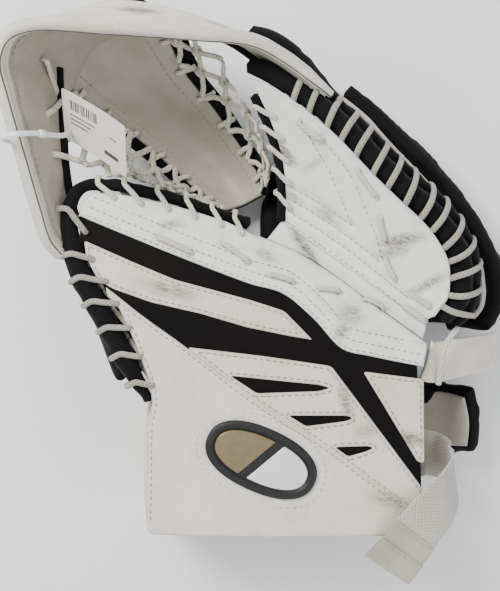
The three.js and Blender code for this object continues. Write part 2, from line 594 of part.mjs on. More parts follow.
// ---- Price card and its tie ----
const CARD = { length: 69, width: 42, thickness: 0.8, hole: 4 };
const cardCorner = vector([-134, 149, 100]);
const cardLong = vector([0.72, -0.49, 0.49]).normalize();
const cardShort = vector([-0.06, -0.74, -0.66]);
cardShort.addScaledVector(cardLong, -cardShort.dot(cardLong)).normalize();
const cardHole = { x: 6, y: CARD.width - 7 };
const cardShape = new THREE.Shape();
cardShape.moveTo(0, 0).lineTo(CARD.length, 0).lineTo(CARD.length, CARD.width).lineTo(0, CARD.width).closePath();
cardShape.holes.push(new THREE.Path().absarc(cardHole.x, cardHole.y, CARD.hole, 0, 2 * Math.PI, true));
const card = new THREE.ExtrudeGeometry(cardShape, { depth: CARD.thickness, bevelEnabled: false, curveSegments: 6 });
const cardNormal = cardLong.clone().cross(cardShort);
card.applyMatrix4(new THREE.Matrix4().makeBasis(cardLong, cardShort, cardNormal).setPosition(cardCorner));
add("price_card", card, paper);

const tieAt = cardCorner.clone().addScaledVector(cardLong, cardHole.x).addScaledVector(cardShort, cardHole.y);
const tiePath = new THREE.CatmullRomCurve3(
  [
    tieAt.toArray(), [-135, 114, 102], [-148, 111, 130], [-160, 109, 138], [-171, 108, 128],
    [-166, 109, 98], [-157, 110, 72], [-146, 113, 62], [-134, 118, 66],
  ].map(vector), true, "centripetal");
const tieSection = new THREE.Shape().absellipse(0, 0, 1.2, 1.2, 0, 2 * Math.PI);
const tie = new THREE.ExtrudeGeometry(tieSection, { steps: 40, extrudePath: tiePath, curveSegments: 3 });
add("cable_tie", tie, nylonTie);

// The origin goes under the middle of the glove's box, on the surface that it lies on.
const bounds = new THREE.Box3().setFromObject(glove);
const middle = bounds.getCenter(new THREE.Vector3());
glove.position.set(-middle.x, -middle.y, -bounds.min.z);

export default glove;
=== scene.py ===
"""A goalie catch glove, palm up: leather, nylon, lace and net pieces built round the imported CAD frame."""
import json
import math

import bpy
import numpy as np
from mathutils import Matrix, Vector
from mathutils.geometry import delaunay_2d_cdt


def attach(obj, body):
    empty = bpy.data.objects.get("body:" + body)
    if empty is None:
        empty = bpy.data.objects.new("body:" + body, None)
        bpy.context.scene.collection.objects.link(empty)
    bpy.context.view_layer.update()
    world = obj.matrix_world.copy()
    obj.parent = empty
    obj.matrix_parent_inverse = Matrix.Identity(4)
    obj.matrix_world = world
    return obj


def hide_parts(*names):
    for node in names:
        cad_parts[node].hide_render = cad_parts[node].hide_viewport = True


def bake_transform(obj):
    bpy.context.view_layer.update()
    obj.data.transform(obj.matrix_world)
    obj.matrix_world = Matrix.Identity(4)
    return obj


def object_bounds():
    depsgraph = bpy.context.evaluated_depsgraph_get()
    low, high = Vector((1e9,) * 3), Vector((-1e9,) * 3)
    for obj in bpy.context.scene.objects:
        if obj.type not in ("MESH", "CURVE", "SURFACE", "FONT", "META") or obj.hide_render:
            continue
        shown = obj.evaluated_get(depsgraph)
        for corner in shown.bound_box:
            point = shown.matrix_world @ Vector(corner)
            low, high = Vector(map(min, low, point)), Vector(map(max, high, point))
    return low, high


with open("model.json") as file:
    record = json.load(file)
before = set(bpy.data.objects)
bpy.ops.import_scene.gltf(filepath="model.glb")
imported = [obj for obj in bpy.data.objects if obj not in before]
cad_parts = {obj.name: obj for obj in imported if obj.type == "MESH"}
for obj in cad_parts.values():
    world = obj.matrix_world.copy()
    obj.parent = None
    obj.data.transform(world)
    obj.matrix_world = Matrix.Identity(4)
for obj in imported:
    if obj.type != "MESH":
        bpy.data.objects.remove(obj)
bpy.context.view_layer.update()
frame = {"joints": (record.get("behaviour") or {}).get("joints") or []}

# ---- Units: shapes are written in the design's millimetres, as in the CAD source ----
CROTCH = np.array([20.0, 52.0, 57.0])  # the break's end at the bottom of the pocket
HEEL = np.array([134.0, -33.0, 83.0])  # its end at the outer edge of the palm
fold = next(j for j in frame["joints"] if j["name"] == "pocket_fold")
SHIFT = np.array(fold["pos_m"]) - CROTCH / 1000


def metres(points):
    """Design millimetres to the row frame's metres."""
    return np.asarray(points, float) / 1000 + SHIFT


UPWARD = [0, 0, 1]
PALM_HEIGHT = 97.0
CREASE_WIDTH = 38.0
CUFF_LEFT, CUFF_RIGHT = -75.0, 128.0
LACE = 2.0  # lace radius
EDGE_ROLL = 8.0
POCKET_ROLL = 4.6
BAND_THICK = 7.0
LIP = 4.4
WEBBING = 36.0

RNG = np.random.default_rng(11)


# ---- Curves and surfaces ----
def smooth(t):
    t = np.clip(t, 0, 1)
    return t * t * (3 - 2 * t)


def mix(a, b, t):
    return a + (b - a) * t


def unit(v):
    v = np.asarray(v, float)
    return v / np.maximum(np.linalg.norm(v, axis=-1, keepdims=True), 1e-12)


def run_along(points):
    """Length along a polyline at each of its points."""
    return np.concatenate([[0], np.cumsum(np.linalg.norm(np.diff(points, axis=0), axis=1))])


def catmull(points, at):
    """Centripetal Catmull-Rom through points (R, N, 3) at parameters `at` (N,) from 0 to 1."""
    last = len(points) - 1
    p = np.concatenate([[2 * points[0] - points[1]], points, [2 * points[-1] - points[-2]]])
    x = np.clip(at, 0, 1) * last
    k = np.minimum(x.astype(int), last - 1)
    w = (x - k)[:, None]
    n = np.arange(len(k))
    p0, p1, p2, p3 = (p[k + i, n] for i in range(4))
    d0, d1, d2 = (
        np.maximum(np.linalg.norm(b - a, axis=1, keepdims=True), 1e-4) ** 0.5
        for a, b in ((p0, p1), (p1, p2), (p2, p3))
    )
    t1 = ((p1 - p0) / d0 - (p2 - p0) / (d0 + d1) + (p2 - p1) / d1) * d1
    t2 = ((p2 - p1) / d1 - (p3 - p1) / (d1 + d2) + (p3 - p2) / d2) * d1
    a = 2 * p1 - 2 * p2 + t1 + t2
    b = -3 * p1 + 3 * p2 - 2 * t1 - t2
    return ((a * w + b) * w + t1) * w + p1


class Curve:
    """A smooth curve through points; Curve(t) gives points at shares t of its length."""

    def __init__(self, points, straight=False):
        p = np.asarray(points, float)
        if straight or len(p) < 3:
            self.dense = p
        else:
            at = np.linspace(0, 1, 24 * len(p))
            self.dense = catmull(np.repeat(p[:, None], len(at), 1), at)
        self.run = run_along(self.dense)
        self.length = self.run[-1]

    def __call__(self, t):
        s = np.clip(np.atleast_1d(t), 0, 1) * self.length
        return np.stack([np.interp(s, self.run, self.dense[:, i]) for i in range(self.dense.shape[1])], -1)

    def tangent(self, t):
        return unit(self(np.asarray(t) + 0.004) - self(np.asarray(t) - 0.004))


class Loft:
    """A surface through rails: u runs along each rail and v from the first rail to the last."""

    def __init__(self, rails):
        self.rails = [Curve(r) for r in rails]

    def __call__(self, u, v):
        u, v = np.broadcast_arrays(np.asarray(u, float), np.asarray(v, float))
        across = np.array([rail(u.ravel()) for rail in self.rails])
        if len(across) == 2:
            out = mix(across[0], across[1], v.ravel()[:, None])
        else:
            out = catmull(across, v.ravel())
        return out.reshape(u.shape + (3,))


def normals_of(surface, u, v, facing):
    e = 1e-3
    u0, u1 = np.clip(u - e, 0, 1), np.clip(u + e, 0, 1)
    v0, v1 = np.clip(v - e, 0, 1), np.clip(v + e, 0, 1)
    n = unit(np.cross(surface(u1, v) - surface(u0, v), surface(u, v1) - surface(u, v0)))
    flip = np.where((n @ np.asarray(facing, float)) < 0, -1.0, 1.0)
    return n * flip[..., None]


fold_along = unit((HEEL - CROTCH)[:2])
fold_length = np.linalg.norm((HEEL - CROTCH)[:2])
fold_across = np.array([-fold_along[1], fold_along[0]])  # from the break towards the finger tips


def thumb_face(x, y):
    """Height of the thumb half's face."""
    dx, dy = x - CROTCH[0], y - CROTCH[1]
    t = np.clip((dx * fold_along[0] + dy * fold_along[1]) / fold_length, 0, 1)
    away = np.maximum(0, dx * fold_along[1] - dy * fold_along[0])
    crease = (PALM_HEIGHT - mix(CROTCH[2], HEEL[2], t)) * np.exp(-away / CREASE_WIDTH)
    crown = 7 * ((x - (CUFF_LEFT + CUFF_RIGHT) / 2) / ((CUFF_RIGHT - CUFF_LEFT) / 2)) ** 2
    return PALM_HEIGHT - crease - crown * smooth((-20 - y) / 80)


def thumb_point(x, y, lift=0.0):
    """Points on the thumb face, raised by `lift` along its normal, with the normals."""
    x, y = np.asarray(x, float), np.asarray(y, float)
    e = 0.5
    gx = (thumb_face(x + e, y) - thumb_face(x - e, y)) / (2 * e)
    gy = (thumb_face(x, y + e) - thumb_face(x, y - e)) / (2 * e)
    n = unit(np.stack([-gx, -gy, np.ones_like(gx)], -1))
    p = np.stack([x, y, thumb_face(x, y)], -1)
    return p + n * np.asarray(lift)[..., None], n


def on_thumb(xy, lift=0.0):
    """The same for a list of [x, y]."""
    xy = np.asarray(xy, float)
    return thumb_point(xy[:, 0], xy[:, 1], np.full(len(xy), lift))


# ---- Mesh making ----
def new_piece(name, verts, faces, material, uv=None, marks=None, smooth_faces=True):
    """A mesh object from design millimetres. `uv` is per vertex, in metres; `marks` are per-vertex floats."""
    mesh = bpy.data.meshes.new(name)
    mesh.from_pydata(metres(verts).tolist(), [], [tuple(int(i) for i in f) for f in faces])
    if uv is not None:
        layer = mesh.uv_layers.new(name="UVMap")
        index = np.zeros(len(mesh.loops), int)
        mesh.loops.foreach_get("vertex_index", index)
        layer.data.foreach_set("uv", np.asarray(uv, float)[index].ravel())
    for key, values in (marks or {}).items():
        mesh.attributes.new(key, "FLOAT", "POINT").data.foreach_set("value", np.asarray(values, np.float32))
    mesh.validate()
    mesh.update()
    piece = bpy.data.objects.new(name, mesh)
    bpy.context.scene.collection.objects.link(piece)
    if smooth_faces:
        mesh.shade_smooth()
    mesh.materials.append(material)
    return piece


def place(piece, body, slot, *nodes, fill=None):
    """Parents a piece to the empty of the body it rides on, or bakes its transform where it is given a bend between
    two bodies, and hides the CAD nodes it stands for; `slot` and `fill` are not used.
    """
    if isinstance(body, str):
        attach(piece, body)
    else:
        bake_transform(piece)
    if nodes:
        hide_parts(*nodes)
    return piece


def rounded(distance, radius):
    """How far a rounded edge drops at a distance in from the edge."""
    d = np.minimum(distance, radius)
    return radius - np.sqrt(np.maximum(0, radius**2 - (radius - d) ** 2))


def spread(count, length, edge):
    """Parameters 0..1 that are closer together near both ends, to carry a rounded edge."""
    near = min(0.2, edge / max(length, 1e-6))
    ends = np.array([0, 0.12, 0.35, 0.7, 1.0]) * near
    return np.concatenate([ends, np.linspace(near, 1 - near, count)[1:-1], 1 - ends[::-1]])


def slab_faces(rows, cols):
    """Faces of a closed slab from two grids of points, the front's numbered first."""
    index = np.arange(rows * cols).reshape(rows, cols)
    a, b, c, d = index[:-1, :-1], index[1:, :-1], index[1:, 1:], index[:-1, 1:]
    quads = np.stack([a, b, c, d], -1).reshape(-1, 4)
    shift = rows * cols
    border = np.concatenate([index[:, 0], index[-1, 1:], index[-2::-1, -1], index[0, -2:0:-1]])
    after = np.roll(border, -1)
    walls = np.stack([border, border + shift, after + shift, after], -1)
    return np.concatenate([quads, quads[:, ::-1] + shift, walls])


def skin(name, surface, thickness, material, facing, depth=0.0, cell=2.2, edge=1.1, relief=None, trim=(0, 1, 0, 1)):
    """A layer on a surface: front at `depth` behind it, rounded edges, and `relief` that raises it."""
    u0, u1, v0, v1 = trim
    mid_u = surface(np.linspace(u0, u1, 60), np.full(60, mix(v0, v1, 0.5)))
    mid_v = surface(np.full(60, mix(u0, u1, 0.5)), np.linspace(v0, v1, 60))
    len_u, len_v = (run_along(m)[-1] for m in (mid_u, mid_v))
    us = mix(u0, u1, spread(max(4, int(len_u / cell)), len_u, edge))
    vs = mix(v0, v1, spread(max(4, int(len_v / cell)), len_v, edge))
    u, v = np.meshgrid(us, vs, indexing="ij")
    p = surface(u, v)
    n = normals_of(surface, u, v, facing)
    run_u = np.concatenate([np.zeros((1, len(vs))), np.cumsum(np.linalg.norm(np.diff(p, axis=0), axis=2), 0)])
    run_v = np.concatenate([np.zeros((len(us), 1)), np.cumsum(np.linalg.norm(np.diff(p, axis=1), axis=2), 1)], 1)
    edges = [(run_u, u0 == 0), (run_u[-1] - run_u, u1 == 1), (run_v, v0 < 0.3), (run_v[:, -1:] - run_v, v1 > 0.7)]
    rim = np.minimum.reduce([away for away, real in edges if real])
    drop = rounded(rim, min(edge, thickness * 0.5))
    raised = relief(u, v, p, rim) if relief else 0.0
    front = p - n * (depth + drop - raised)[..., None]
    back = p - n * (depth + thickness - drop * 0.6)[..., None]
    faces = slab_faces(*u.shape)
    verts = np.concatenate([front.reshape(-1, 3), back.reshape(-1, 3)])
    if np.cross(p[1, 0] - p[0, 0], p[0, 1] - p[0, 0]) @ n[0, 0] < 0:
        faces = faces[:, ::-1]
    uv = np.stack([run_u, run_v], -1).reshape(-1, 2) / 1000
    marks = {"rim": np.tile(np.exp(-rim.ravel() / 2.5), 2)}
    return new_piece(name, verts, faces, material, np.tile(uv, (2, 1)), marks)


def inside(points, loop):
    """Which 2-D points lie inside a closed loop."""
    x, y = points[:, 0][:, None], points[:, 1][:, None]
    x0, y0 = loop[:, 0], loop[:, 1]
    x1, y1 = np.roll(x0, -1), np.roll(y0, -1)
    crosses = ((y0 > y) != (y1 > y)) & (x < (x1 - x0) * (y - y0) / (y1 - y0 + 1e-12) + x0)
    return crosses.sum(1) % 2 == 1


def distance_to(points, loop, closed=True):
    """Distance from points to a polyline."""
    a, b = loop, np.roll(loop, -1, 0)
    if not closed:
        a, b = a[:-1], b[:-1]
    ab = b - a
    best = np.full(len(points), 1e9)
    for start, edge in zip(a, ab):
        t = np.clip(((points - start) @ edge) / max(edge @ edge, 1e-9), 0, 1)
        best = np.minimum(best, np.linalg.norm(points - start - t[:, None] * edge, axis=1))
    return best


def resample(loop, spacing, closed=True):
    """Points along a polyline about `spacing` apart, keeping its corners."""
    loop = np.asarray(loop, float)
    ends = np.roll(loop, -1, 0) if closed else loop[1:]
    out = []
    for a, b in zip(loop, ends):
        n = max(1, int(round(np.linalg.norm(b - a) / spacing)))
        out += [mix(a, b, i / n) for i in range(n)]
    if not closed:
        out.append(loop[-1])
    return np.array(out)


def fillet(loop, radius, closed=True, steps=5):
    """A polyline with its corners rounded."""
    loop = np.asarray(loop, float)
    n = len(loop)
    out = []
    for i, p in enumerate(loop):
        if not closed and i in (0, n - 1):
            out.append(p)
            continue
        a, b = loop[i - 1], loop[(i + 1) % n]
        r = min(radius, 0.45 * np.linalg.norm(a - p), 0.45 * np.linalg.norm(b - p))
        s, e = p + unit(a - p) * r, p + unit(b - p) * r
        out += [mix(mix(s, p, t), mix(p, e, t), t) for t in np.linspace(0, 1, steps)]
    return np.array(out)


def nearest_edge(points, loops):
    """Distance from 2-D points to the nearest of some closed loops."""
    return np.min([distance_to(points, loop) for loop in loops], 0)


def within(points, loops):
    """Which 2-D points lie inside the first loop and outside all the others, which are its holes."""
    good = inside(points, loops[0])
    for hole in loops[1:]:
        good &= ~inside(points, hole)
    return good


def triangulate(points, loops):
    """Triangles over the space between loops; `points` starts with the loops' own points."""
    edges, first = [], 0
    for loop in loops:
        n = len(loop)
        edges += [(first + i, first + (i + 1) % n) for i in range(n)]
        first += n
    made = delaunay_2d_cdt([Vector(p) for p in points], edges, [], 1, 1e-4)
    flat = np.array([tuple(v) for v in made[0]])
    triangles = np.array([f for f in made[2] if len(f) == 3])
    triangles = triangles[within(flat[triangles].mean(1), loops)]
    used = np.unique(triangles)
    renumber = np.full(len(flat), -1)
    renumber[used] = np.arange(len(used))
    return flat[used], renumber[triangles]


def two_sided(triangles, n):
    """Faces of a closed body from the triangles of its front, whose `n` points come before those of its back."""
    directed = {(a, b): True for tri in triangles for a, b in zip(tri, np.roll(tri, -1))}
    walls = [(i, i + n, j + n, j) for i, j in directed if (j, i) not in directed]
    return triangles.tolist() + (triangles[:, ::-1] + n).tolist() + walls


def overlay(name, outline, material, lift, thickness, holes=(), cell=2.3, edge=0.9, relief=None):
    """A panel cut to an outline and laid on the thumb face: a thin closed body with rounded edges."""
    loops = [resample(outline, 1.5)] + [resample(h, 1.0) for h in holes]
    low, high = loops[0].min(0), loops[0].max(0)
    gx, gy = np.meshgrid(np.arange(low[0], high[0], cell), np.arange(low[1], high[1], cell * 0.87))
    gx = gx + (np.arange(gx.shape[0]) % 2)[:, None] * cell / 2
    grid = np.stack([gx.ravel(), gy.ravel()], -1)
    keep = within(grid, loops) & (nearest_edge(grid, loops) > edge + 0.8)
    rings = []
    for loop in loops:
        side = np.roll(loop, -1, 0) - np.roll(loop, 1, 0)
        normal = unit(np.stack([-side[:, 1], side[:, 0]], -1))
        for reach in (0.35 * edge, edge):
            for sign in (1, -1):
                ring = loop + normal * reach * sign
                rings.append(ring[within(ring, loops) & (nearest_edge(ring, loops) > 0.93 * reach)])
    flat, triangles = triangulate(np.concatenate(loops + rings + [grid[keep]]), loops)
    a, b, c = (flat[triangles[:, i]] for i in range(3))
    area = (b[:, 0] - a[:, 0]) * (c[:, 1] - a[:, 1]) - (b[:, 1] - a[:, 1]) * (c[:, 0] - a[:, 0])
    triangles[area < 0] = triangles[area < 0][:, ::-1]
    rim = nearest_edge(flat, loops)
    raised = lift - rounded(rim, edge)
    if relief is not None:
        raised = raised + relief(flat[:, 0], flat[:, 1], rim)
    front, normal = thumb_point(flat[:, 0], flat[:, 1], raised)
    back, _ = thumb_point(flat[:, 0], flat[:, 1], np.full(len(flat), lift - thickness))
    marks = {"rim": np.tile(np.exp(-rim / 2.5), 2)}
    return new_piece(name, np.concatenate([front, back]), two_sided(triangles, len(flat)), material,
                     np.tile(flat / 1000, (2, 1)), marks)


def tube(name, centre, radii, material, sides=12, flat=1.0, normals=None):
    """A closed tube through centre points (n, 3); `radii` per point; `flat` squashes it along its normal."""
    centre = np.asarray(centre, float)
    n = len(centre)
    radii = np.broadcast_to(radii, n)
    tangent = unit(np.gradient(centre, axis=0))
    if normals is None:
        normals = [np.array([0.0, 0.0, 1.0])]
        normals[0] = unit(normals[0] - tangent[0] * (normals[0] @ tangent[0]))
        for i in range(1, n):
            v = normals[-1] - tangent[i] * (normals[-1] @ tangent[i])
            normals.append(unit(v))
        normals = np.array(normals)
    else:
        normals = unit(normals - tangent * np.sum(normals * tangent, -1, keepdims=True))
    side = np.cross(tangent, normals)
    angle = np.linspace(0, 2 * np.pi, sides, endpoint=False)
    ring = np.cos(angle)[None, :, None] * side[:, None] + flat * np.sin(angle)[None, :, None] * normals[:, None]
    verts = (centre[:, None] + ring * radii[:, None, None]).reshape(-1, 3)
    i, k = np.meshgrid(np.arange(n - 1), np.arange(sides), indexing="ij")
    a, b = i * sides + k, i * sides + (k + 1) % sides
    faces = np.stack([a, b, b + sides, a + sides], -1).reshape(-1, 4)[:, ::-1].tolist()
    run = run_along(centre) / 1000
    turn = angle / (2 * np.pi)
    uv = np.stack([np.repeat(run, sides), np.tile(turn, n)], -1)
    ends = np.array([centre[0] - tangent[0] * radii[0] * 0.45, centre[-1] + tangent[-1] * radii[-1] * 0.45])
    verts = np.concatenate([verts, ends])
    uv = np.concatenate([uv, [[run[0], 0.5], [run[-1], 0.5]]])
    last = (n - 1) * sides
    for k in range(sides):
        faces.append((n * sides, k, (k + 1) % sides))
        faces.append((n * sides + 1, last + k, last + (k + 1) % sides)[::-1])
    return new_piece(name, verts, faces, material, uv)


def join(name, pieces):
    """Joins mesh objects into one, named `name`."""
    bpy.ops.object.select_all(action="DESELECT")
    for piece in pieces:
        piece.select_set(True)
    bpy.context.view_layer.objects.active = pieces[0]
    if len(pieces) > 1:
        bpy.ops.object.join()
    pieces[0].name = name
    pieces[0].data.name = name
    return pieces[0]


def lace_along(name, points, radius, material, steps=40, sides=10, flat=0.7, normal=None):
    """A flattened lace through a few points; all of it faces `normal`."""
    normals = None if normal is None else np.tile(normal, (steps, 1))
    return tube(name, Curve(points)(np.linspace(0, 1, steps)), radius, material, sides, flat, normals)


# ---- Stitches, laces and rolls ----
STITCH = 3.3  # length of one stitch
STITCH_GAP = 1.5


def stitches(name, lines, material):
    """One piece of all the stitches along lines, each a list of points with normals."""
    steps, sides = 5, 6
    angle = np.linspace(0, 2 * np.pi, sides, endpoint=False)
    verts, faces = [], []
    for points, normals in lines:
        points = np.asarray(points, float)
        run = run_along(points)
        count = int(run[-1] / (STITCH + STITCH_GAP))
        if count < 1:
            continue
        pitch = run[-1] / count
        for k in range(count):
            s = np.linspace(k * pitch + STITCH_GAP / 2, (k + 1) * pitch - STITCH_GAP / 2, steps)
            p = np.stack([np.interp(s, run, points[:, i]) for i in range(3)], -1)
            n = unit(np.stack([np.interp(s, run, normals[:, i]) for i in range(3)], -1))
            arch = np.sin(np.linspace(0, np.pi, steps))
            p = p + n * (0.42 * arch - 0.14)[:, None]
            tangent = unit(np.gradient(p, axis=0))
            side = np.cross(tangent, n)
            r = 0.34 * (0.55 + 0.45 * arch)
            ring = np.cos(angle)[None, :, None] * side[:, None] + np.sin(angle)[None, :, None] * n[:, None]
            base = len(verts) * steps * sides
            verts.append((p[:, None] + ring * r[:, None, None]).reshape(-1, 3))
            for i in range(steps - 1):
                for j in range(sides):
                    a, b = base + i * sides + j, base + i * sides + (j + 1) % sides
                    faces.append((a, a + sides, b + sides, b))
            faces.append(tuple(base + j for j in range(sides)))
            faces.append(tuple(base + (steps - 1) * sides + j for j in range(sides - 1, -1, -1)))
    return new_piece(name, np.concatenate(verts), faces, material)


def inset_loop(loop, by):
    """A closed outline moved inwards."""
    dense = resample(loop, 1.2)
    side = np.roll(dense, -1, 0) - np.roll(dense, 1, 0)
    normal = unit(np.stack([-side[:, 1], side[:, 0]], -1))
    trial = dense + normal
    if inside(trial, dense).mean() < 0.5:
        normal = -normal
    moved = dense + normal * by
    good = distance_to(moved, dense) > 0.96 * by
    moved = moved[good & inside(moved, dense)]
    return np.concatenate([moved, moved[:1]])


def outset_loop(loop, by):
    """A closed outline moved outwards, with round corners."""
    a = np.linspace(0, 2 * np.pi, 72, endpoint=False)
    dense = resample(loop, 1.0)
    cloud = (dense[:, None] + by * np.stack([np.cos(a), np.sin(a)], -1)[None]).reshape(-1, 2)
    edge = cloud[(distance_to(cloud, dense) > 0.985 * by) & ~inside(cloud, dense)]
    nearest = np.array([np.argmin(((dense - e) ** 2).sum(1)) for e in edge])
    ahead = np.roll(dense, -1, 0) - dense
    along = np.sum((edge - dense[nearest]) * unit(ahead[nearest]), -1)
    return edge[np.argsort(nearest + 0.4 * along / by)]


def wrap_lace(name, roll, radius, ts, holes, normals, material, lace=2.0, under=5.0):
    """A lace out of each hole in the leather, over and round the roll beside it, and back under to the next hole."""
    curve = Curve(roll)
    points, outward = [], []
    for t, hole, n in zip(ts, holes, normals):
        centre, along = curve(t)[0], curve.tangent(t)[0]
        toward = (hole - centre) * [1, 1, 0]
        toward = unit(toward - along * (toward @ along))
        up = np.cross(along, toward)
        up = up if up[2] > 0 else -up
        r = radius + lace * 0.75
        rim = unit((hole - centre) * [1, 1, 0])
        steps = (
            (hole - n * under, n), (hole - n * 1.0 + rim * 0.4, rim), (hole + n * 1.3 - rim * 1.8, n),
            (mix(hole + n * 1.6, centre + up * r, 0.55), n + up), (centre + up * r, up),
            (centre + (up - toward) * r * 0.72, up - toward), (centre - toward * r, -toward),
            (centre - (up + toward) * r * 0.72, -up - toward), (centre - up * r + toward * 1.5, -up),
        )
        for point, way in steps:
            points.append(point)
            outward.append(unit(way))
    path = Curve(points)
    at = np.linspace(0, 1, len(points) * 5)
    reached = np.interp(np.linspace(0, 1, len(points)), np.linspace(0, 1, len(path.run)), path.run / path.length)
    facing = np.stack([np.interp(at, reached, way) for way in np.array(outward).T], -1)
    return tube(name, path(at), lace, material, sides=10, flat=0.72, normals=unit(facing + 1e-6))


def nearest_t(path, points):
    """Shares of a path's length nearest to the given points, seen from above."""
    t = np.linspace(0, 1, 400)
    dense = Curve(path)(t)[:, :2]
    return np.array([t[np.argmin(((dense - np.asarray(p, float)[:2]) ** 2).sum(1))] for p in points])


def winding_points(path, radius, turns, t0, t1, half=0.0, tilt=0.0, per_turn=28, wobble=0.25):
    """Centre points and outward normals of a lace wound round a roll, or round two rolls `half` from the middle."""
    curve = Curve(path)
    n = int(turns * per_turn)
    t = np.linspace(t0, t1, n + 1)
    centre, tangent = curve(t), curve.tangent(t)
    level = unit(np.cross([0.0, 0.0, 1.0], tangent))
    above = np.cross(tangent, level)
    side = level * math.cos(tilt) + above * math.sin(tilt)
    up = np.cross(tangent, side)
    a = 2 * np.pi * np.arange(n + 1) / per_turn
    reach = half * np.clip(1.5 * np.cos(a), -1, 1)
    drift = wobble * np.sin(a * 0.37 + 1.3)
    outward = side * np.cos(a)[:, None] + up * np.sin(a)[:, None]
    return centre + side * reach[:, None] + outward * radius + tangent * drift[:, None], outward


def roll_piece(name, path, radius, material, steps=90, sides=20, waists=0, t0=0.0, t1=1.0, bumps=0.25):
    """A padded nylon roll: `radius` is a function of t; laces pinch it at evenly spaced waists."""
    curve = Curve(path)
    t = np.linspace(0, 1, steps)
    r = radius(t) if callable(radius) else np.full(steps, float(radius))
    if waists:
        phase = (t - t0) / (t1 - t0) * waists
        pinch = np.exp(-(((phase % 1) - 0.5) / 0.2) ** 2)
        r = r * (1.02 - 0.09 * (1 - pinch) * ((t > t0) & (t < t1)))
    r = r + bumps * np.sin(t * 61 + 0.6) * np.sin(t * 23)
    dome = np.minimum(1, np.sqrt(np.maximum(0, 1 - (1 - np.minimum(t, 1 - t) / 0.02).clip(0, 1) ** 2)) + 0.25)
    return tube(name, curve(t), r * dome, material, sides=sides)


# ---- Materials ----
def start_material(name, **values):
    """A new material, its tree and its shader, with the shader's own sockets set to the given values."""
    m = bpy.data.materials.new(name)
    m.use_nodes = True
    shader = m.node_tree.nodes["Principled BSDF"]
    for key, value in values.items():
        shader.inputs[key.replace("_", " ")].default_value = value
    return m, m.node_tree, shader


def node(tree, kind, **values):
    made = tree.nodes.new(kind)
    for key, value in values.items():
        if hasattr(made, key):
            setattr(made, key, value)
        else:
            made.inputs[key.replace("_", " ")].default_value = value
    return made


def link(tree, a, b):
    tree.links.new(a, b)


def coordinates(tree, kind):
    return tree.nodes.new("ShaderNodeTexCoord").outputs[kind]


def noise_node(tree, vector, scale, detail=4.0, roughness=0.55):
    made = node(tree, "ShaderNodeTexNoise", Scale=scale, Detail=detail, Roughness=roughness)
    link(tree, vector, made.inputs["Vector"])
    return made.outputs["Fac"]


def grey(tree, value, low, high, a=0.0, b=1.0):
    """value mapped from low..high to a..b, clamped."""
    made = node(tree, "ShaderNodeMapRange", From_Min=low, From_Max=high, To_Min=a, To_Max=b)
    link(tree, value, made.inputs["Value"])
    return made.outputs["Result"]


def maths(tree, operation, a, b):
    made = tree.nodes.new("ShaderNodeMath")
    made.operation = operation
    for socket, value in zip(made.inputs, (a, b)):
        if isinstance(value, (int, float)):
            socket.default_value = value
        else:
            link(tree, value, socket)
    return made.outputs["Value"]


def blend_colour(tree, factor, a, b):
    made = tree.nodes.new("ShaderNodeMix")
    made.data_type = "RGBA"
    for socket, value in ((made.inputs["Factor"], factor), (made.inputs["A"], a), (made.inputs["B"], b)):
        if isinstance(value, (int, float)):
            socket.default_value = value
        elif isinstance(value, tuple):
            socket.default_value = (*value, 1)
        else:
            link(tree, value, socket)
    return made.outputs["Result"]


def bump(tree, shader, height, distance, strength=1.0, before=None):
    made = node(tree, "ShaderNodeBump", Strength=strength, Distance=distance)
    link(tree, height, made.inputs["Height"])
    if before is not None:
        link(tree, before, made.inputs["Normal"])
    link(tree, made.outputs["Normal"], shader.inputs["Normal"])
    return made.outputs["Normal"]


def attribute(tree, name):
    made = tree.nodes.new("ShaderNodeAttribute")
    made.attribute_name = name
    return made.outputs["Fac"]


def streaked(tree, vector, angle, scale, stretch):
    """Noise drawn out along a direction: scratches and rubbed marks."""
    drawn = node(tree, "ShaderNodeMapping", Rotation=(0, 0, angle), Scale=(scale, scale * stretch, scale))
    link(tree, vector, drawn.inputs["Vector"])
    return noise_node(tree, drawn.outputs["Vector"], 1.0, 5.0, 0.65)


def scaled(colour, by, add=0.0):
    return tuple(min(1, c * by + add) for c in colour)


